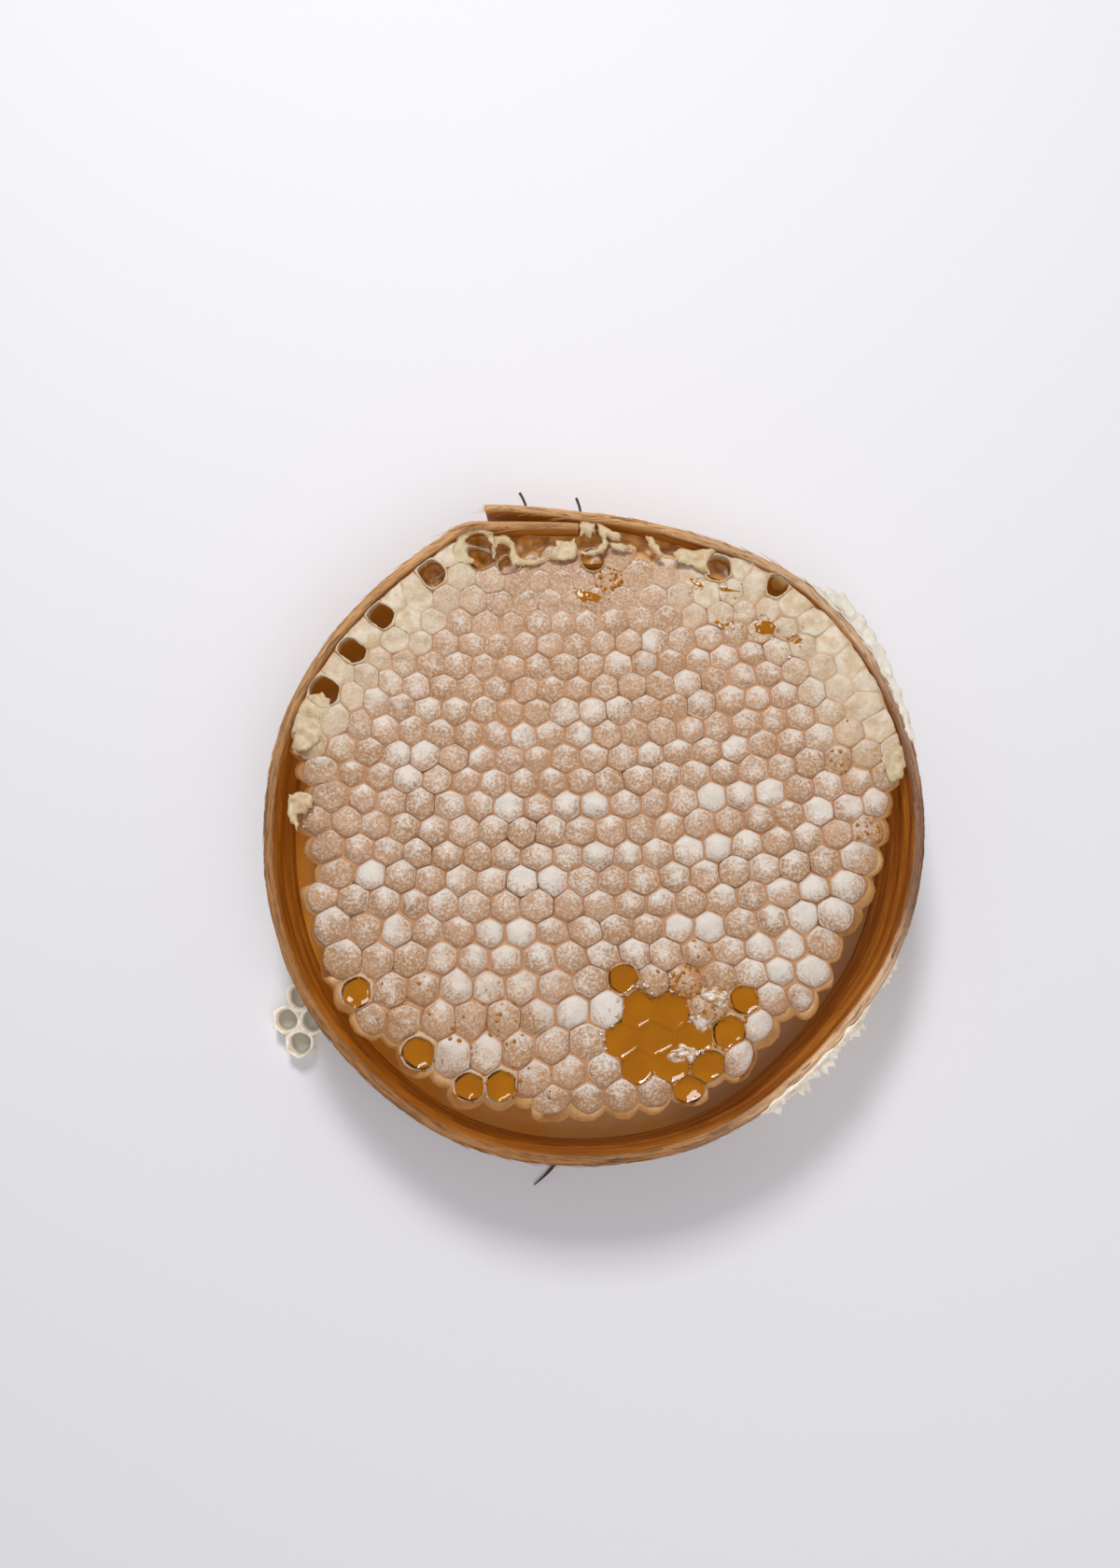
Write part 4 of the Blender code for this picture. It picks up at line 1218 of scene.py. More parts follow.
def combTree():
    tree = makeTree(
        "combCaps", [(label, "NodeSocketFloat") for label in unevenness] + [("Wax", "NodeSocketMaterial")]
    )
    given = addNode(tree, "NodeGroupInput").outputs
    group = capRingGroup()
    position = addNode(tree, "GeometryNodeInputPosition").outputs[0]
    marked = addNode(
        tree, "GeometryNodeStoreNamedAttribute",
        {"Geometry": given["Geometry"], "Name": "edgePoint", "Value": position}, data_type="FLOAT_VECTOR",
        domain="POINT",
    )
    kind = addNode(tree, "GeometryNodeInputNamedAttribute", {"Name": "kind"}, data_type="INT").outputs[0]
    geometryNow = marked.outputs[0]
    for wanted in capping:
        top = addNode(
            tree, "FunctionNodeCompare", {2: kind, 3: wanted}, data_type="INT", operation="EQUAL"
        ).outputs[0]
        for spread, height, dome, roundness, relief, rise in capping[wanted]:
            ring = addNode(tree, "GeometryNodeGroup", node_tree=group)
            values = {
                "Geometry": geometryNow, "Top": top, "Spread": spread, "Height": height * mm,
                "Dome": dome * mm, "Roundness": roundness, "Relief": relief, "Rise": rise,
            }
            for label, value in values.items():
                if isinstance(value, bpy.types.NodeSocket):
                    tree.links.new(value, ring.inputs[label])
                else:
                    ring.inputs[label].default_value = value
            geometryNow, top = ring.outputs["Geometry"], ring.outputs["Top"]
    # uneven wax: a fine ripple, a drift that leaves no two caps alike, and a slow swell
    for amount, size in (("Ripple", "Ripple Size"), ("Drift", "Drift Size"), ("Swell", "Swell Size")):
        scale = addNode(tree, "ShaderNodeMath", {0: 1.0, 1: given[size]}, operation="DIVIDE").outputs[0]
        rough = addNode(tree, "ShaderNodeTexNoise", {"Scale": scale, "Detail": 1.0}).outputs["Color"]
        centred = addNode(
            tree, "ShaderNodeVectorMath", {0: rough, 1: (0.5, 0.5, 0.5)}, operation="SUBTRACT"
        ).outputs[0]
        push = addNode(
            tree, "ShaderNodeVectorMath", {0: centred, "Scale": given[amount]}, operation="SCALE"
        ).outputs[0]
        if amount == "Swell":
            push = addNode(
                tree, "ShaderNodeVectorMath", {0: push, 1: (0, 0, 1)}, operation="MULTIPLY"
            ).outputs[0]
        geometryNow = addNode(
            tree, "GeometryNodeSetPosition", {"Geometry": geometryNow, "Offset": push}
        ).outputs[0]
    real = addNode(tree, "GeometryNodeRealizeInstances", {"Geometry": geometryNow})
    finished = addNode(
        tree, "GeometryNodeSetMaterial", {"Geometry": real.outputs[0], "Material": given["Wax"]}
    )
    addNode(tree, "NodeGroupOutput", {"Geometry": finished.outputs[0]})
    return tree


comb = combBase()
capTree = combTree()
waxShape = {key: value * mm for key, value in unevenness.items()}
bakeNodes(comb, capTree, dict(waxShape, Wax=waxMaterial), waxMaterial)
comb.data.shade_smooth()
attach(comb, "root")
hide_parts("comb")

# what lies on the comb: webs and flaps of wax, torn caps, honey

combSurface = BVHTree.FromPolygons(
    [v.co for v in comb.data.vertices], [p.vertices for p in comb.data.polygons]
)


def surfaceLevel(x, y, fallback):
    start = (Vector((x, y, 60)) + hoopCentre) * mm
    hit = combSurface.ray_cast(start, Vector((0, 0, -1)))[0]
    return hit.z / mm if hit else fallback


def edgeDistance(place, outline):
    nearest = 99.0
    for a, b in zip(outline, outline[1:] + outline[:1]):
        run = b - a
        t = min(max((place - a).dot(run) / max(run.length_squared, 1e-9), 0), 1)
        nearest = min(nearest, (place - a - run * t).length)
    return nearest


def isInside(place, outline):
    inside = False
    for a, b in zip(outline, outline[1:] + outline[:1]):
        crosses = (a.y > place.y) != (b.y > place.y)
        if crosses and place.x < a.x + (b.x - a.x) * (place.y - a.y) / (b.y - a.y):
            inside = not inside
    return inside


def slab(outline, step, raggedness, section):
    # a closed thin body over an outline; section(place, toEdge) gives its lower and upper level
    outline = [Vector(p) for p in outline]
    ring = []
    for a, b in zip(outline, outline[1:] + outline[:1]):
        cuts = max(1, round((b - a).length / step))
        for i in range(cuts):
            place = a.lerp(b, i / cuts)
            drift = Vector((lump(place.x, place.y, 1.3, 5), lump(place.x, place.y, 1.3, 9)))
            ring.append(place + raggedness * drift)
    spots = list(ring)
    low = Vector((min(p.x for p in ring), min(p.y for p in ring)))
    high = Vector((max(p.x for p in ring), max(p.y for p in ring)))
    for j in range(int((high.y - low.y) / step) + 1):
        for i in range(int((high.x - low.x) / step) + 1):
            place = low + Vector(((i + 0.5 * (j % 2)) * step, j * step))
            if isInside(place, ring) and edgeDistance(place, ring) > 0.45 * step:
                spots.append(place)
    border = [(i, (i + 1) % len(ring)) for i in range(len(ring))]
    flat, _, triangles = geometry.delaunay_2d_cdt(spots, border, [], 1, 1e-5)[:3]
    levels = [section(place, edgeDistance(place, ring)) for place in flat]
    verts = [(p.x, p.y, level[1]) for p, level in zip(flat, levels)]
    verts += [(p.x, p.y, level[0]) for p, level in zip(flat, levels)]
    count = len(flat)
    faces = [tuple(face) for face in triangles]
    runs = {(face[i], face[(i + 1) % 3]) for face in faces for i in range(3)}
    faces += [tuple(i + count for i in reversed(face)) for face in triangles]
    faces += [(b, a, a + count, b + count) for a, b in sorted(runs) if (b, a) not in runs]
    return verts, faces


def makeSlabs(name, slabs, material, slot):
    verts, faces = [], []
    for partVerts, partFaces in slabs:
        faces += [tuple(i + len(verts) for i in face) for face in partFaces]
        verts += partVerts
    piece = makePiece(name, verts, faces, material, slot)
    pointOutwards(piece)
    piece.data.set_sharp_from_angle(angle=math.radians(55))
    print(name, len(faces), "faces")
    return piece


webs = {
    "step": 0.5, "thickness": 0.2, "edgeRoll": 0.1, "raggedness": 0.6, "clearance": 0.05, "highest": 28.7,
    # each web: its level in mm and its outline
    "sheets": (
        (
            27.3,
            (
                (-29.1, 69.8), (-27.0, 70.5), (-24.1, 70.0), (-22.2, 69.1), (-21.7, 66.6), (-21.9, 63.1),
                (-22.6, 62.2), (-22.8, 65.5), (-23.5, 67.8), (-25.6, 68.7), (-27.8, 68.3), (-28.7, 66.7),
                (-28.5, 64.5), (-26.9, 62.2), (-28.7, 61.4), (-31.1, 62.3), (-31.9, 64.5), (-31.1, 67.6),
            ),
        ),
        (
            26.8,
            (
                (-22.2, 68.1), (-20.4, 68.6), (-18.7, 67.9), (-17.4, 66.1), (-16.8, 64.1), (-16.3, 62.9),
                (-14.4, 62.2), (-12.4, 62.4), (-10.2, 63.5), (-10.5, 62.4), (-12.8, 61.3), (-15.5, 60.9),
                (-17.6, 61.4), (-18.5, 63.0), (-18.7, 65.0), (-19.8, 66.3), (-21.1, 66.6), (-21.8, 64.6),
                (-22.2, 63.2),
            ),
        ),
        (
            26.9,
            (
                (-8.0, 67.0), (-5.9, 66.6), (-3.5, 67.2), (-2.8, 64.8), (-3.3, 62.8), (-5.7, 62.1),
                (-8.5, 62.4), (-9.8, 62.8), (-8.9, 64.4), (-7.4, 65.5),
            ),
        ),
        (
            27.6,
            (
                (-2.1, 71.7), (-0.2, 71.4), (1.6, 70.7), (1.1, 69.6), (2.0, 68.1), (0.7, 68.7),
                (0.2, 67.2), (-1.1, 68.3), (-2.2, 67.7),
            ),
        ),
        (
            27.4,
            (
                (1.6, 71.2), (3.3, 70.1), (5.2, 69.0), (7.4, 68.3), (7.4, 66.5), (5.2, 66.7), (4.1, 67.9),
                (4.5, 65.6), (3.2, 63.7), (1.1, 63.0), (-1.1, 63.5), (-2.6, 64.4), (-0.5, 63.9),
                (1.7, 64.8), (3.0, 66.3), (2.6, 68.3),
            ),
        ),
        (26.6, ((4.6, 66.3), (6.1, 66.5), (8.0, 65.8), (10.0, 65.1), (8.0, 64.5), (5.4, 64.8))),
        (
            27.2,
            (
                (13.2, 67.8), (14.5, 67.6), (15.8, 65.6), (17.3, 63.1), (16.6, 62.5), (15.4, 63.4),
                (14.3, 64.7),
            ),
        ),
        (
            27.3,
            (
                (19.5, 64.0), (22.1, 64.4), (25.3, 63.9), (28.6, 64.7), (30.1, 66.1), (32.2, 65.4),
                (36.5, 63.3), (39.1, 61.5), (37.8, 60.2), (35.2, 61.6), (33.9, 62.2), (32.4, 63.8),
                (30.3, 64.1), (28.3, 63.0), (27.6, 61.0), (28.2, 58.5), (26.1, 59.0), (23.5, 60.4),
                (20.9, 61.1),
            ),
        ),
        (
            27.1,
            (
                (-61.9, 31.4), (-64.2, 31.0), (-66.2, 29.9), (-68.3, 29.1), (-68.5, 27.6), (-67.4, 26.5),
                (-64.8, 25.6), (-62.2, 25.5), (-60.1, 27.3), (-60.1, 29.7),
            ),
        ),
        (
            26.9,
            (
                (-62.8, 25.2), (-65.4, 25.5), (-67.7, 24.0), (-68.5, 20.9), (-68.9, 18.8), (-67.4, 17.5),
                (-64.8, 18.3), (-62.7, 19.8), (-61.5, 22.6),
            ),
        ),
        (
            27.5,
            (
                (-69.6, 5.4), (-69.2, 7.6), (-67.3, 8.4), (-64.9, 8.2), (-63.6, 6.7), (-63.8, 4.8),
                (-65.7, 3.5), (-67.2, 3.3), (-67.0, 1.1), (-67.2, -0.6), (-68.5, 1.6), (-69.4, 2.9),
            ),
        ),
        (
            26.8,
            (
                (67.1, 16.9), (70.1, 18.6), (72.0, 17.1), (72.1, 13.9), (71.1, 10.9), (69.0, 9.6),
                (67.3, 10.9), (66.4, 13.9),
            ),
        ),
    ),
    "overRim": (
        28.45,
        (
            (54.2, 53.6), (55.5, 54.7), (57.4, 53.1), (58.7, 54.0), (59.9, 51.1), (61.3, 48.9),
            (62.8, 48.3), (63.8, 45.6), (65.5, 44.3), (65.8, 41.7), (67.3, 41.2), (67.9, 38.6),
            (68.9, 36.5), (69.4, 33.4), (71.0, 30.8), (71.3, 27.8), (72.5, 24.4), (72.6, 20.9),
            (71.5, 20.5), (70.8, 23.9), (69.6, 27.8), (68.1, 31.5), (66.7, 35.2), (65.1, 37.4),
            (64.5, 40.0), (62.6, 41.7), (61.0, 44.4), (59.6, 46.1), (58.4, 49.0), (56.5, 50.1),
            (54.8, 51.6),
        ),
    ),
}


def webSection(level):
    def section(place, toEdge):
        upper = level - 0.25 + 0.5 * lump(place.x, place.y, 2.2, 4) + 0.25 * lump(place.x, place.y, 1.1, 12)
        upper += webs["edgeRoll"] * math.exp(
            -(((toEdge - 0.5) / 0.4) ** 2)
        ) - 0.3 * math.exp(-toEdge / 0.15)
        upper = max(upper, surfaceLevel(place.x, place.y, 0) + webs["clearance"] + 0.15 * min(toEdge, 1))
        return upper - webs["thickness"], min(upper, webs["highest"])

    return section


def webSlabs(sheets):
    return [slab(outline, webs["step"], webs["raggedness"], webSection(level)) for level, outline in sheets]


makeSlabs("waxWebs", webSlabs(webs["sheets"]), webMaterial, "burr_wax")
makeSlabs("rimWeb", webSlabs([webs["overRim"]]), burrMaterial, "burr_wax")

# old brown wax seen down in the gap behind the comb

shelf = {"level": 22.5, "start": 60, "end": 124, "reach": 3.0, "step": 1.0, "depth": 4}


def shelfSection(place, toEdge):
    upper = shelf["level"] + 1.2 * lump(place.x, place.y, 3.2, 14) - 0.8 * smoothStep(0, 2, toEdge)
    return shelf["level"] - shelf["depth"], upper


near, far = [], []
for angle in range(shelf["end"], shelf["start"] - 1, -2):
    edge = min(edgeRadius(angle, cells["grooveLevel"]), innerWall(angle, 20) - 2)
    near.append(polar(edge - shelf["reach"], angle, 0)[:2])
for angle in range(shelf["start"], shelf["end"] + 1, 2):
    far.append(polar(innerWall(angle, shelf["level"]) - 0.15, angle, 0)[:2])
makeSlabs("brownShelf", [slab(near + far, shelf["step"], 0, shelfSection)], brownMaterial, "comb_wax")

torn = {
    "step": 0.5, "raggedness": 0.35, "foot": 24.6, "ground": 25.0, "highest": 28.0,
    # torn caps that stand in the honey: height in mm, ridge spacing, and outline
    "scraps": (
        (
            1.5, 1.2,
            (
                (24.1, -37.8), (24.8, -36.6), (26.3, -36.1), (27.7, -36.3), (28.7, -37.1), (30.1, -37.5),
                (30.8, -38.5), (30.5, -39.9), (29.8, -40.9), (28.4, -40.9), (27.2, -40.4), (26.0, -39.9),
                (24.8, -39.2), (24.1, -38.7),
            ),
        ),
        (
            1.5, 1.6,
            (
                (20.9, -44.4), (21.4, -43.2), (22.4, -42.6), (23.8, -42.5), (25.2, -43.0), (26.4, -43.7),
                (26.8, -45.4), (26.1, -47.0), (25.4, -48.2), (24.4, -47.9), (23.5, -47.0), (22.5, -45.8),
                (21.6, -45.1),
            ),
        ),
        (
            1.5, 0.8,
            (
                (16.8, -50.8), (17.7, -49.8), (18.9, -49.1), (20.3, -48.6), (21.8, -48.9), (23.0, -49.6),
                (23.7, -50.8), (24.1, -52.0), (23.6, -53.3), (21.7, -53.5), (19.3, -53.5), (17.2, -53.3),
                (16.0, -52.7),
            ),
        ),
    ),
}


def scrapSection(height, ridges):
    def section(place, toEdge):
        base = max(surfaceLevel(place.x, place.y, torn["ground"]), torn["ground"])
        ridge = 0.6 * lump(place.x * 0.35, place.y, ridges * 0.7, 8) + 0.25 * lump(place.x, place.y, 0.6, 2)
        upper = base + height * min(1, toEdge / 1.4) ** 0.6 * (0.75 + ridge)
        return torn["foot"], min(max(upper, torn["ground"] + 0.3), torn["highest"])

    return section


tornSlabs = []
for height, ridges, outline in torn["scraps"]:
    tornSlabs.append(slab(outline, torn["step"], torn["raggedness"], scrapSection(height, ridges)))
makeSlabs("tornCaps", tornSlabs, tornMaterial, "burr_wax")

pools = {
    "poolLevel": 25.5, "wellLevel": 25.3, "depth": 2.4, "step": 0.4, "meniscus": 0.55, "ripple": 0.4,
    # of a cell's width; the right side's are wider
    "poolShare": 0.95, "wellShare": 0.82, "wideShare": 0.89,
    "slitDepth": 0.8, "slitRaggedness": 0.25,
    # cracks and pits in the caps with honey standing in them
    "slits": (
        ((23.1, 57.8), (24.4, 57.6), (25.7, 56.5), (26.7, 55.4), (25.6, 55.4), (24.1, 56.5)),
        ((29.7, 55.1), (31.2, 55.7), (32.7, 54.8), (35.5, 54.2), (33.2, 54.2), (31.2, 54.4)),
        (
            (28.1, 47.2), (29.4, 47.7), (30.9, 46.6), (32.4, 47.4), (33.7, 47.0), (32.6, 46.5),
            (31.1, 45.9), (29.6, 46.8),
        ),
        ((44.4, 43.8), (46.1, 43.3), (47.4, 43.8), (49.5, 42.4), (47.5, 42.0), (45.8, 42.7)),
        ((38.0, 46.7), (39.9, 47.4), (41.9, 47.1), (43.1, 46.0), (42.2, 44.3), (40.1, 44.1), (38.4, 44.7)),
        (
            (-3.4, 54.6), (-2.4, 55.4), (-0.9, 55.1), (0.6, 54.6), (2.9, 53.7), (1.8, 52.2), (-0.3, 52.8),
            (-1.4, 52.2), (-2.8, 53.4),
        ),
    ),
}


def flatCorner(key):
    angle, radius, _ = corners[key]
    return Vector(polar(radius, angle, 0)).to_2d()


def cellOutline(group, share):
    # the outer outline of one or more cells, drawn in to a share of their width
    sides = {}
    for cell in group:
        keys = cornerKeys(cell)
        for a, b in zip(keys, keys[1:] + keys[:1]):
            sides[a, b] = cell
    free = {a: (b, cell) for (a, b), cell in sides.items() if (b, a) not in sides}
    first = min(free, key=lambda key: sorted(key))
    outline, key = [], first
    while True:
        following, cell = free[key]
        centre = Vector(centres[cell])
        size = sum((flatCorner(k) - centre).length for k in cornerKeys(cell)) / 6
        for i in range(3):
            place = flatCorner(key).lerp(flatCorner(following), i / 3) - centre
            circle = place.normalized() * min(size * 0.97, place.length * 1.1)
            outline.append(tuple(centre + place.lerp(circle, 0.6) * share))
        key = following
        if key == first:
            return outline


def honeySection(level):
    def section(place, toEdge):
        upper = level + pools["meniscus"] * math.exp(-toEdge / 0.8)
        return level - pools["depth"], upper + pools["ripple"] * lump(place.x, place.y, 3.4, 6)

    return section


def poolSection(place, toEdge):
    # where two cells meet under the honey, their wall still shows as a faint ridge
    nearest = sorted((Vector(centres[c]) - place).length for c in pool)
    wall = 0.3 * math.exp(-(((nearest[1] - nearest[0]) / 0.9) ** 2))
    upper = pools["poolLevel"] + pools["meniscus"] * math.exp(-toEdge / 0.9) + wall
    upper += pools["ripple"] * lump(place.x, place.y, 5.2, 6)
    return pools["poolLevel"] - pools["depth"], upper


wells = [cell for cell, kind in opened.items() if kind == "honey"]
for number, cell in enumerate(wells, 1):
    share = pools["wideShare" if centres[cell][0] > 0 else "wellShare"]
    body = slab(cellOutline([cell], share), pools["step"], 0, honeySection(pools["wellLevel"]))
    well = makeSlabs("honeyWell", [body], honeyMaterial, "honey")
    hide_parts("honey_cell_" + str(number))
body = slab(cellOutline(pool, pools["poolShare"]), pools["step"], 0, poolSection)
runTogether = makeSlabs("honeyPool", [body], honeyMaterial, "honey")
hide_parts("honey_pool")


def slitSection(place, toEdge):
    base = surfaceLevel(place.x, place.y, 26)
    swell = (0.02 + 0.16 * min(1, toEdge / 0.5)) * (1 + 0.9 * lump(place.x, place.y, 0.9, 4))
    return base - pools["slitDepth"], base + swell


slitSlabs = [
    slab(outline, pools["step"], pools["slitRaggedness"], slitSection) for outline in pools["slits"]
]
makeSlabs("honeySlits", slitSlabs, honeyMaterial, "honey")

# the skin of honey that has run out on the ground inside the hoop

film = {
    "level": 0.5, "underside": 0.06, "ripple": 0.12, "creep": 1.6, "creepWidth": 1.1, "sectors": 180,
    "rings": (0, 0.25, 0.6, 1.1, 1.8, 3.0, 5.0, 9.0, 18.0, 34.0, 50.0),  # mm in from the hoop
}
verts, faces = [], []
for side in ("top", "bottom"):
    for inwards in film["rings"]:
        for i in range(film["sectors"]):
            angle = 360 * i / film["sectors"] - 180
            z = film["underside"]
            if side == "top":
                z = film["level"] + film["creep"] * math.exp(-inwards / film["creepWidth"])
                z += film["ripple"] * lump(inwards, angle * 1.2, 6, 3)
            verts.append(polar(innerWall(angle, 1) - 0.02 - inwards, angle, z))
across = film["sectors"]
half = len(verts) // 2
for i in range(across):
    j = (i + 1) % across
    for k in range(len(film["rings"]) - 1):
        a, b = k * across, (k + 1) * across
        faces.append((a + i, a + j, b + j, b + i))
        faces.append((half + b + i, half + b + j, half + a + j, half + a + i))
    faces.append((j, i, half + i, half + j))
last = (len(film["rings"]) - 1) * across
faces.append(tuple(last + i for i in range(across)))
faces.append(tuple(half + last + i for i in reversed(range(across))))
filmPiece = makePiece("honeyFilm", verts, faces, filmMaterial, "honey")
pointOutwards(filmPiece)

# crusts of wax on the outside of the hoop, their petals leaning out at the top

crusts = {
    "step": 0.35,  # degrees
    "petal": 5.2, "tooth": 2.1,  # mm along the rim
    "highest": 28.2, "foldLevel": 28.15,
    # replaced node, start and end in degrees, foot and top level, reach, and how far a lobe folds
    # in over the rim
    "runs": (
        ("burr_wax_lower", -60.0, -33.0, 14.0, 27.2, 5.0, 1.6),
        ("burr_flap", -30.0, -23.0, 16.0, 25.0, 6.2, 0.0),
        ("burr_wax_upper", 12.5, 48.5, 18.0, 28.3, 1.9, 1.4),
    ),
}


def buildCrust(node, start, end, foot, top, reach, fold):
    verts, faces = [], []
    count = int((end - start) / crusts["step"]) + 1
    size = 0
    for i in range(count):
        angle = start + (end - start) * i / (count - 1)
        along = math.radians(angle) * hoop["meanRadius"]
        wall = outerWall(angle, top)
        ends = smoothStep(0, 2.5, min(angle - start, end - angle))
        petal = 0.5 + 0.5 * lump(along, 1, crusts["petal"], 31)
        saw = (along / crusts["tooth"] + 1.2 * lump(along, 4, 3.0, 17)) % 1.0
        tooth = 1 - abs(2 * saw - 1)
        out = reach * ends * min(1.0, max(0.25, 1.7 * petal - 0.3) * (0.45 + 0.75 * tooth))
        crest = min(top + 0.7 * lump(along, 2, 3.1, 12) - 0.6, crusts["highest"])
        inner = fold * ends * max(0.0, lump(along, 8, 3.8, 21) + 0.15) + 0.2
        hang = crest - 0.6 - 0.8 * tooth - 0.3 * out
        low = foot + 1.5 + 2.4 * lump(along, 5, 3.6, 8) + 0.9 * lump(along, 6, 1.2, 3)
        low += (crest - 2.4 - low) * (1 - smoothStep(0, 4.5, min(angle - start, end - angle)))
        # distance out from the hoop and height, from the foot up the outside to the crest
        section = [
            (0.02, low), (0.2 + 0.1 * out, low + 0.3), (0.35 + 0.5 * out, (low + crest) / 2),
            (0.4 + 0.82 * out, hang - 1.2), (0.3 + out, hang), (0.3 + out, hang + 0.35),
            (0.25 + 0.75 * out, hang + 0.8 + 0.3 * tooth), (0.2 + 0.45 * out, crest - 0.5),
            (0.15 + 0.15 * out, crest),
        ]
        if fold and top > 27:
            level = crusts["foldLevel"] + 0.25 * lump(along, 3, 1.7, 2)
            section += [
                (0.0, level), (-inner * 0.6, level + 0.12), (-inner, level), (-inner, level - 0.3),
                (-0.1, 27.6), (0.02, 26.5),
            ]
        else:
            section += [(0.05, crest + 0.1), (0.02, crest - 0.5)]
        size = len(section)
        for outwards, z in section:
            rough = 0.14 * lump(along, z * 1.3, 0.9, 5) if outwards > 0.2 else 0
            lean = wallLean(angle, min(z, 28)) - wallLean(angle, top)
            verts.append(polar(wall - lean + outwards + rough, angle, z))
    for i in range(count - 1):
        for j in range(size):
            k = (j + 1) % size
            faces.append((i * size + j, i * size + k, (i + 1) * size + k, (i + 1) * size + j))
    faces.append(tuple(range(size)))
    faces.append(tuple((count - 1) * size + j for j in reversed(range(size))))
    piece = makePiece(node + "Petals", verts, faces, burrMaterial, "burr_wax")
    pointOutwards(piece)
    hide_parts(node)
    print(node, len(faces), "faces")


for run in crusts["runs"]:
    buildCrust(*run)

# the scrap of comb at the hoop's foot

scrap = {
    "cell": 6.4, "top": 4.6, "foot": 0.7, "place": (-70.6, -44.6), "turn": 60, "cuts": 3, "drift": 0.35,
    "cells": ((0, 0), (1, 0), (0, 1), (1, 1)),
}


def buildScrap():
    verts, faces, numbers = [], [], {}
    face = {key: [] for key in ("kind", "cellCentre", "cellSize", "relief", "girth", "tilt")}
    size = scrap["cell"] / math.sqrt(3)
    turn = math.radians(scrap["turn"])
    middles = []
    for column, row in scrap["cells"]:
        x = (column - 0.5 + 0.5 * row - 0.25) * scrap["cell"]
        y = (row - 0.5) * scrap["cell"] * 0.866
        middleX = scrap["place"][0] + x * math.cos(turn) - y * math.sin(turn)
        middleY = scrap["place"][1] + x * math.sin(turn) + y * math.cos(turn)
        middles.append(Vector((middleX, middleY)))

    def number(place, z):
        name = (round(place.x, 1), round(place.y, 1), z)
        if name not in numbers:
            numbers[name] = len(verts)
            drift = Vector((lump(place.x, place.y, 4, 3), lump(place.x, place.y, 4, 8))) * scrap["drift"]
            verts.append((place.x + drift.x, place.y + drift.y, z))
        return numbers[name]

    sides = {}
    for middle in middles:
        headings = [turn + math.radians(30 + 60 * i) for i in range(6)]
        tips = [middle + size * Vector((math.cos(heading), math.sin(heading))) for heading in headings]
        outline = []
        for i in range(6):
            for k in range(scrap["cuts"]):
                outline.append(tips[i].lerp(tips[(i + 1) % 6], k / scrap["cuts"]))
        for z, kind in ((scrap["top"], 6), (scrap["foot"], 5)):
            ring = [number(place, z) for place in outline]
            if kind == 6:
                for a, b, p, q in zip(ring, ring[1:] + ring[:1], outline, outline[1:] + outline[:1]):
                    sides[a, b] = (p, q)
            centre = sum((Vector(verts[i]) for i in ring), Vector()) / len(ring)
            faces.append(ring if kind == 6 else ring[::-1])
            face["kind"].append(kind)
            face["cellCentre"].append(tuple((centre + hoopCentre) * mm))
            face["cellSize"].append(size * 0.96 * mm)
    for (a, b), (p, q) in sides.items():
        if (b, a) in sides:
            continue
        faces.append((b, a, number(p, scrap["foot"]), number(q, scrap["foot"])))
        face["kind"].append(0)
        face["cellCentre"].append((0, 0, 0))
        face["cellSize"].append(0)
    count = len(faces)
    face["relief"] = [1.0] * count
    face["girth"] = [1.0] * count
    face["tilt"] = [(0, 0, 0)] * count
    kinds = {"cellCentre": "FLOAT_VECTOR", "tilt": "FLOAT_VECTOR", "kind": "INT"}
    attributes = {key: (kinds.get(key, "FLOAT"), "FACE", face[key]) for key in face}
    piece = makePiece("scrapOfComb", verts, faces, burrMaterial, None, attributes)
    bakeNodes(piece, capTree, dict(waxShape, Swell=0.0, Wax=burrMaterial), burrMaterial)
    for vertex in piece.data.vertices:
        vertex.co.z = max(vertex.co.z, 0.05 * mm)
    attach(piece, "root")
    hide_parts("burr_comb")


buildScrap()


# small things by the hundred: drops and glints of honey, flakes of torn wax, wood fibres

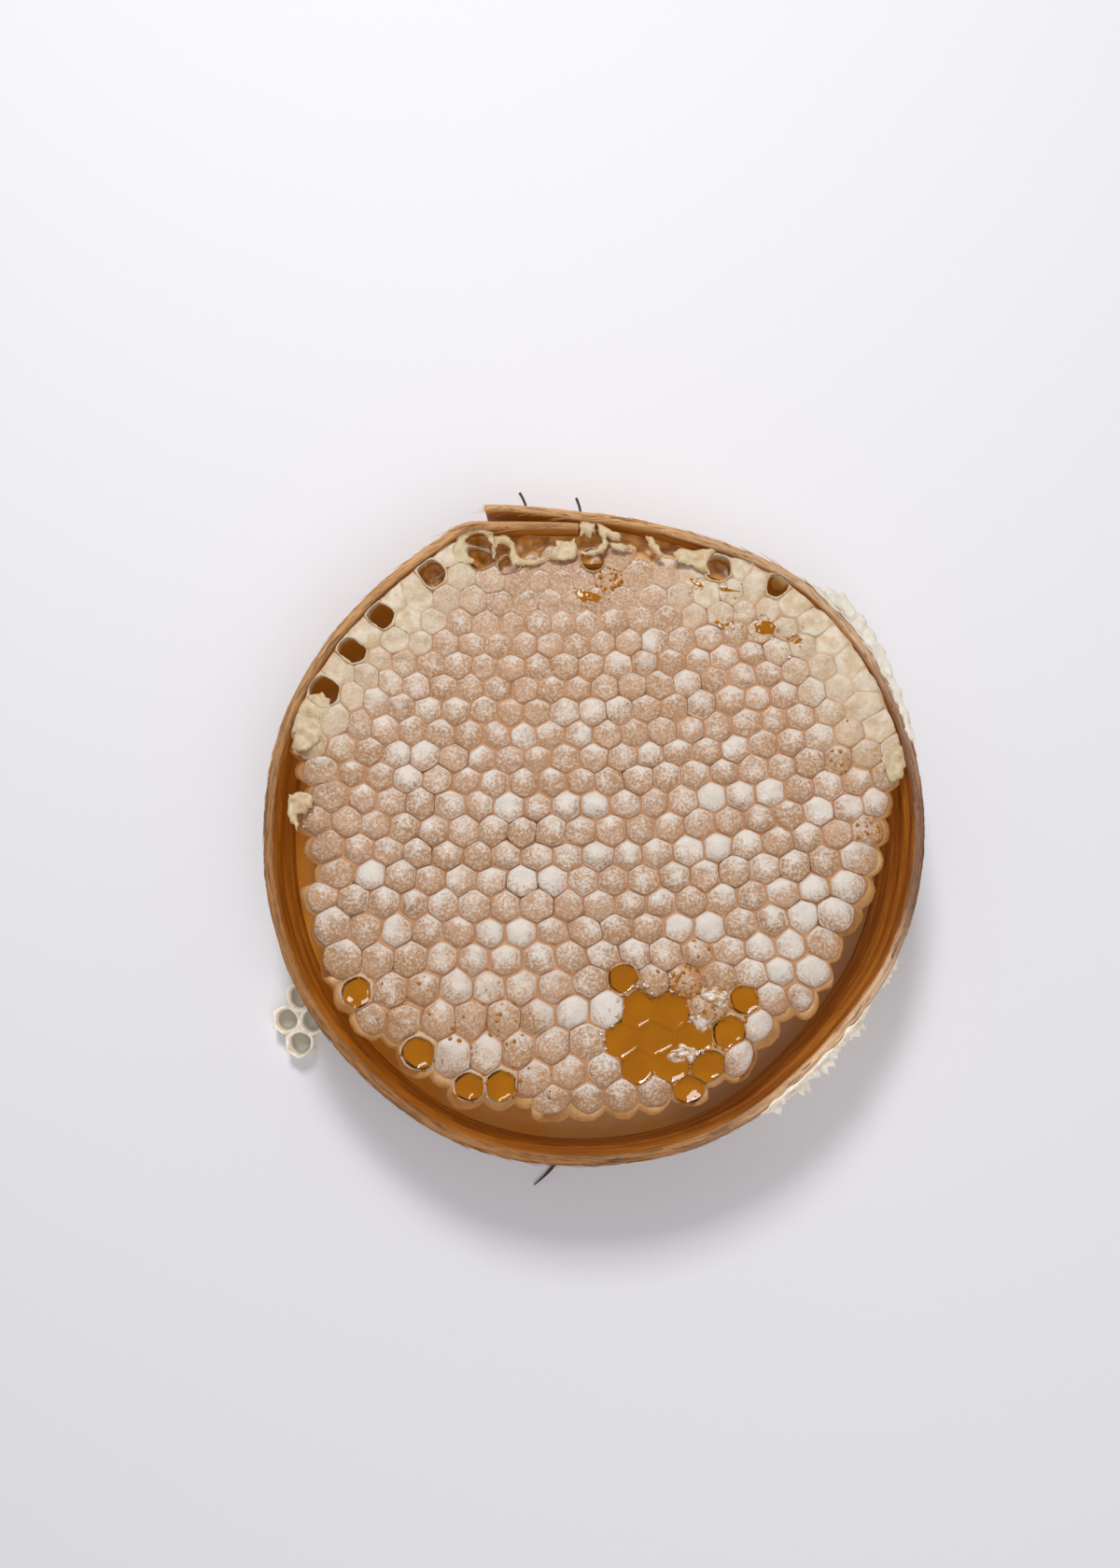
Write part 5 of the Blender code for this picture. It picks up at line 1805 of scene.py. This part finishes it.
def scatterTree(name, kind):
    # scatters small shapes over the faces of a mesh that a stored attribute marks
    sockets = [("Mark", "NodeSocketString"), ("Seed", "NodeSocketInt"), ("Material", "NodeSocketMaterial")]
    for label in ("Per Area", "Small", "Large", "Length", "Flatness", "Lean", "Bend"):
        sockets.append((label, "NodeSocketFloat"))
    tree = makeTree(name, sockets)
    given = addNode(tree, "NodeGroupInput").outputs
    mark = addNode(
        tree, "GeometryNodeInputNamedAttribute", {"Name": given["Mark"]}, data_type="FLOAT"
    ).outputs[0]
    density = addNode(
        tree, "ShaderNodeMath", {0: mark, 1: given["Per Area"]}, operation="MULTIPLY"
    ).outputs[0]
    facing = addNode(tree, "GeometryNodeInputNormal").outputs[0]
    height = addNode(tree, "ShaderNodeSeparateXYZ", {0: facing}).outputs["Z"]
    lowest = -0.2 if kind == "fibre" else 0.25
    upward = addNode(
        tree, "FunctionNodeCompare", {0: height, 1: lowest}, data_type="FLOAT", operation="GREATER_THAN"
    ).outputs[0]
    points = addNode(
        tree, "GeometryNodeDistributePointsOnFaces",
        {"Mesh": given["Geometry"], "Selection": upward, "Density": density, "Seed": given["Seed"]},
    )
    if kind == "drop":
        shape = addNode(
            tree, "GeometryNodeMeshUVSphere", {"Segments": 8, "Rings": 5, "Radius": 1.0}
        ).outputs[0]
    elif kind == "flake":
        shape = addNode(
            tree, "GeometryNodeMeshCube",
            {"Size": (2.0, 1.4, 1.0), "Vertices X": 4, "Vertices Y": 3, "Vertices Z": 2},
        ).outputs[0]
    else:
        shape = addNode(
            tree, "GeometryNodeMeshCone",
            {"Vertices": 5, "Side Segments": 3, "Radius Top": 0.25, "Radius Bottom": 1.0, "Depth": 2.0},
        ).outputs[0]
    turn = addNode(tree, "FunctionNodeRandomValue", {"Seed": given["Seed"]}, data_type="FLOAT_VECTOR")
    spin = math.pi if kind != "fibre" else 0.0
    turn.inputs[0].default_value = (-1, -1, -spin)
    turn.inputs[1].default_value = (1, 1, spin)
    leanBy = addNode(
        tree, "ShaderNodeCombineXYZ", {"X": given["Lean"], "Y": given["Lean"], "Z": 1.0}
    ).outputs[0]
    leaning = addNode(
        tree, "ShaderNodeVectorMath", {0: turn.outputs[0], 1: leanBy}, operation="MULTIPLY"
    ).outputs[0]
    rotation = addNode(tree, "FunctionNodeEulerToRotation", {0: leaning}).outputs[0]
    if kind == "fibre":
        run = addNode(
            tree, "GeometryNodeInputNamedAttribute", {"Name": "run"}, data_type="FLOAT_VECTOR"
        ).outputs[0]
        rotation = addNode(
            tree, "FunctionNodeAlignRotationToVector",
            {"Rotation": rotation, "Vector": run, "Factor": 0.93}, axis="Z",
        ).outputs[0]
    seedTwo = addNode(tree, "ShaderNodeMath", {0: given["Seed"], 1: 7.0}, operation="ADD").outputs[0]
    width = addNode(
        tree, "FunctionNodeRandomValue", {2: given["Small"], 3: given["Large"], "Seed": seedTwo},
        data_type="FLOAT",
    ).outputs[1]
    length = addNode(
        tree, "ShaderNodeMath", {0: width, 1: given["Length"]}, operation="MULTIPLY"
    ).outputs[0]
    thick = addNode(
        tree, "ShaderNodeMath", {0: width, 1: given["Flatness"]}, operation="MULTIPLY"
    ).outputs[0]
    if kind == "fibre":
        scale = addNode(tree, "ShaderNodeCombineXYZ", {"X": width, "Y": thick, "Z": length}).outputs[0]
    else:
        scale = addNode(tree, "ShaderNodeCombineXYZ", {"X": length, "Y": width, "Z": thick}).outputs[0]
    placed = addNode(
        tree, "GeometryNodeInstanceOnPoints",
        {"Points": points.outputs[0], "Instance": shape, "Rotation": rotation, "Scale": scale},
    ).outputs[0]
    real = addNode(tree, "GeometryNodeRealizeInstances", {"Geometry": placed}).outputs[0]
    wave = addNode(tree, "ShaderNodeTexNoise", {"Scale": 1 / (0.9 * mm), "Detail": 0.0}).outputs["Color"]
    centred = addNode(
        tree, "ShaderNodeVectorMath", {0: wave, 1: (0.5, 0.5, 0.5)}, operation="SUBTRACT"
    ).outputs[0]
    push = addNode(
        tree, "ShaderNodeVectorMath", {0: centred, "Scale": given["Bend"]}, operation="SCALE"
    ).outputs[0]
    bent = addNode(tree, "GeometryNodeSetPosition", {"Geometry": real, "Offset": push}).outputs[0]
    smooth = addNode(tree, "GeometryNodeSetShadeSmooth", {"Geometry": bent}).outputs[0]
    finished = addNode(tree, "GeometryNodeSetMaterial", {"Geometry": smooth, "Material": given["Material"]})
    addNode(tree, "NodeGroupOutput", {"Geometry": finished.outputs[0]})
    return tree


scatters = {
    # what, where, the attribute that marks the place, and the sizes in mm
    "honeyDrops": (
        "drop", comb, "dropsHere", honeyMaterial, "honey",
        {
            "Per Area": 1.4e6, "Small": 0.16, "Large": 0.5, "Length": 1.3, "Flatness": 0.6, "Lean": 0.0,
            "Bend": 0.0, "Seed": 3,
        },
    ),
    "tornFlakes": (
        "flake", comb, "flakesHere", tornMaterial, "burr_wax",
        {
            "Per Area": 0.5e6, "Small": 0.3, "Large": 0.62, "Length": 1.2, "Flatness": 0.2, "Lean": 0.7,
            "Bend": 0.7, "Seed": 5,
        },
    ),
    "rimFibres": (
        "fibre", hoopPiece, "frayed", woodMaterial, "bent_wood",
        {
            "Per Area": 0.5e6, "Small": 0.07, "Large": 0.16, "Length": 15.0, "Flatness": 0.7, "Lean": 0.5,
            "Bend": 0.25, "Seed": 9,
        },
    ),
}


marking = {
    "lowest": 24.5, "flakeSpread": 3.2,  # mm
    # where flakes lie, apart from the ring round the torn patch
    "flakePlaces": ((-1, 54), (31, 55), (31, 47), (40, 46), (47, 43), (25, 56), (-66, 6)),
}


def markComb():
    # drops gather in wet places, flakes of wax round the torn patch and the broken top edge
    mesh = comb.data
    wet = np.zeros(len(mesh.polygons))
    mesh.attributes["wet"].data.foreach_get("value", wet)
    drops, flakes = [], []
    for face, damp in zip(mesh.polygons, wet):
        place = (face.center / mm - hoopCentre).to_2d()
        onTop = face.center.z > marking["lowest"] * mm
        toPool = (place - Vector(cells["pool"])).length
        drops.append(max(0.0, damp - 0.25) * onTop * smoothStep(4, 8, toPool))
        ring = smoothStep(6.5, 9, toPool) * smoothStep(13.5, 10, toPool)
        toFlakes = min((place - Vector(p)).length for p in marking["flakePlaces"])
        beside = math.exp(-((toFlakes / marking["flakeSpread"]) ** 2))
        flakes.append(max(ring * 0.8, beside * 0.7) * onTop)
    for name, values in (("dropsHere", drops), ("flakesHere", flakes)):
        mesh.attributes.new(name, "FLOAT", "FACE").data.foreach_set("value", np.array(values))


markComb()
for name, (kind, host, mark, material, slot, values) in scatters.items():
    piece = bpy.data.objects.new(name, host.data.copy())
    bpy.context.scene.collection.objects.link(piece)
    piece.data.materials.clear()
    inMetres = {
        key: value * mm if key in ("Small", "Large", "Bend") else value for key, value in values.items()
    }
    bakeNodes(piece, scatterTree(name, kind), dict(inMetres, Mark=mark, Material=material), material)
    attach(piece, "root")

# the nails and the splinter keep the frame's shapes and get finishes of their own

for name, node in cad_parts.items():
    if name.startswith("nail") or name == "splinter":
        node.data.materials.clear()
        node.data.materials.append(fibreMaterial if name == "splinter" else wireMaterial)

# the floor

floorMesh = bpy.data.meshes.new("floor")
floorMesh.from_pydata([(-3, -3, 0), (3, -3, 0), (3, 3, 0), (-3, 3, 0)], [], [(0, 1, 2, 3)])
floorMaterial, _, floorShader = newMaterial("paintedBoard", 0.7)
floorShader.inputs["Base Color"].default_value = toLinear("#E9E8EC")
floorMesh.materials.append(floorMaterial)
floor = bpy.data.objects.new("floor", floorMesh)
bpy.context.scene.collection.objects.link(floor)
floor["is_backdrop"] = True

sizes = [[list(corner) for corner in box] for box in (cadBox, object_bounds())]
print("cad box", sizes[0])
print("visual box", sizes[1])
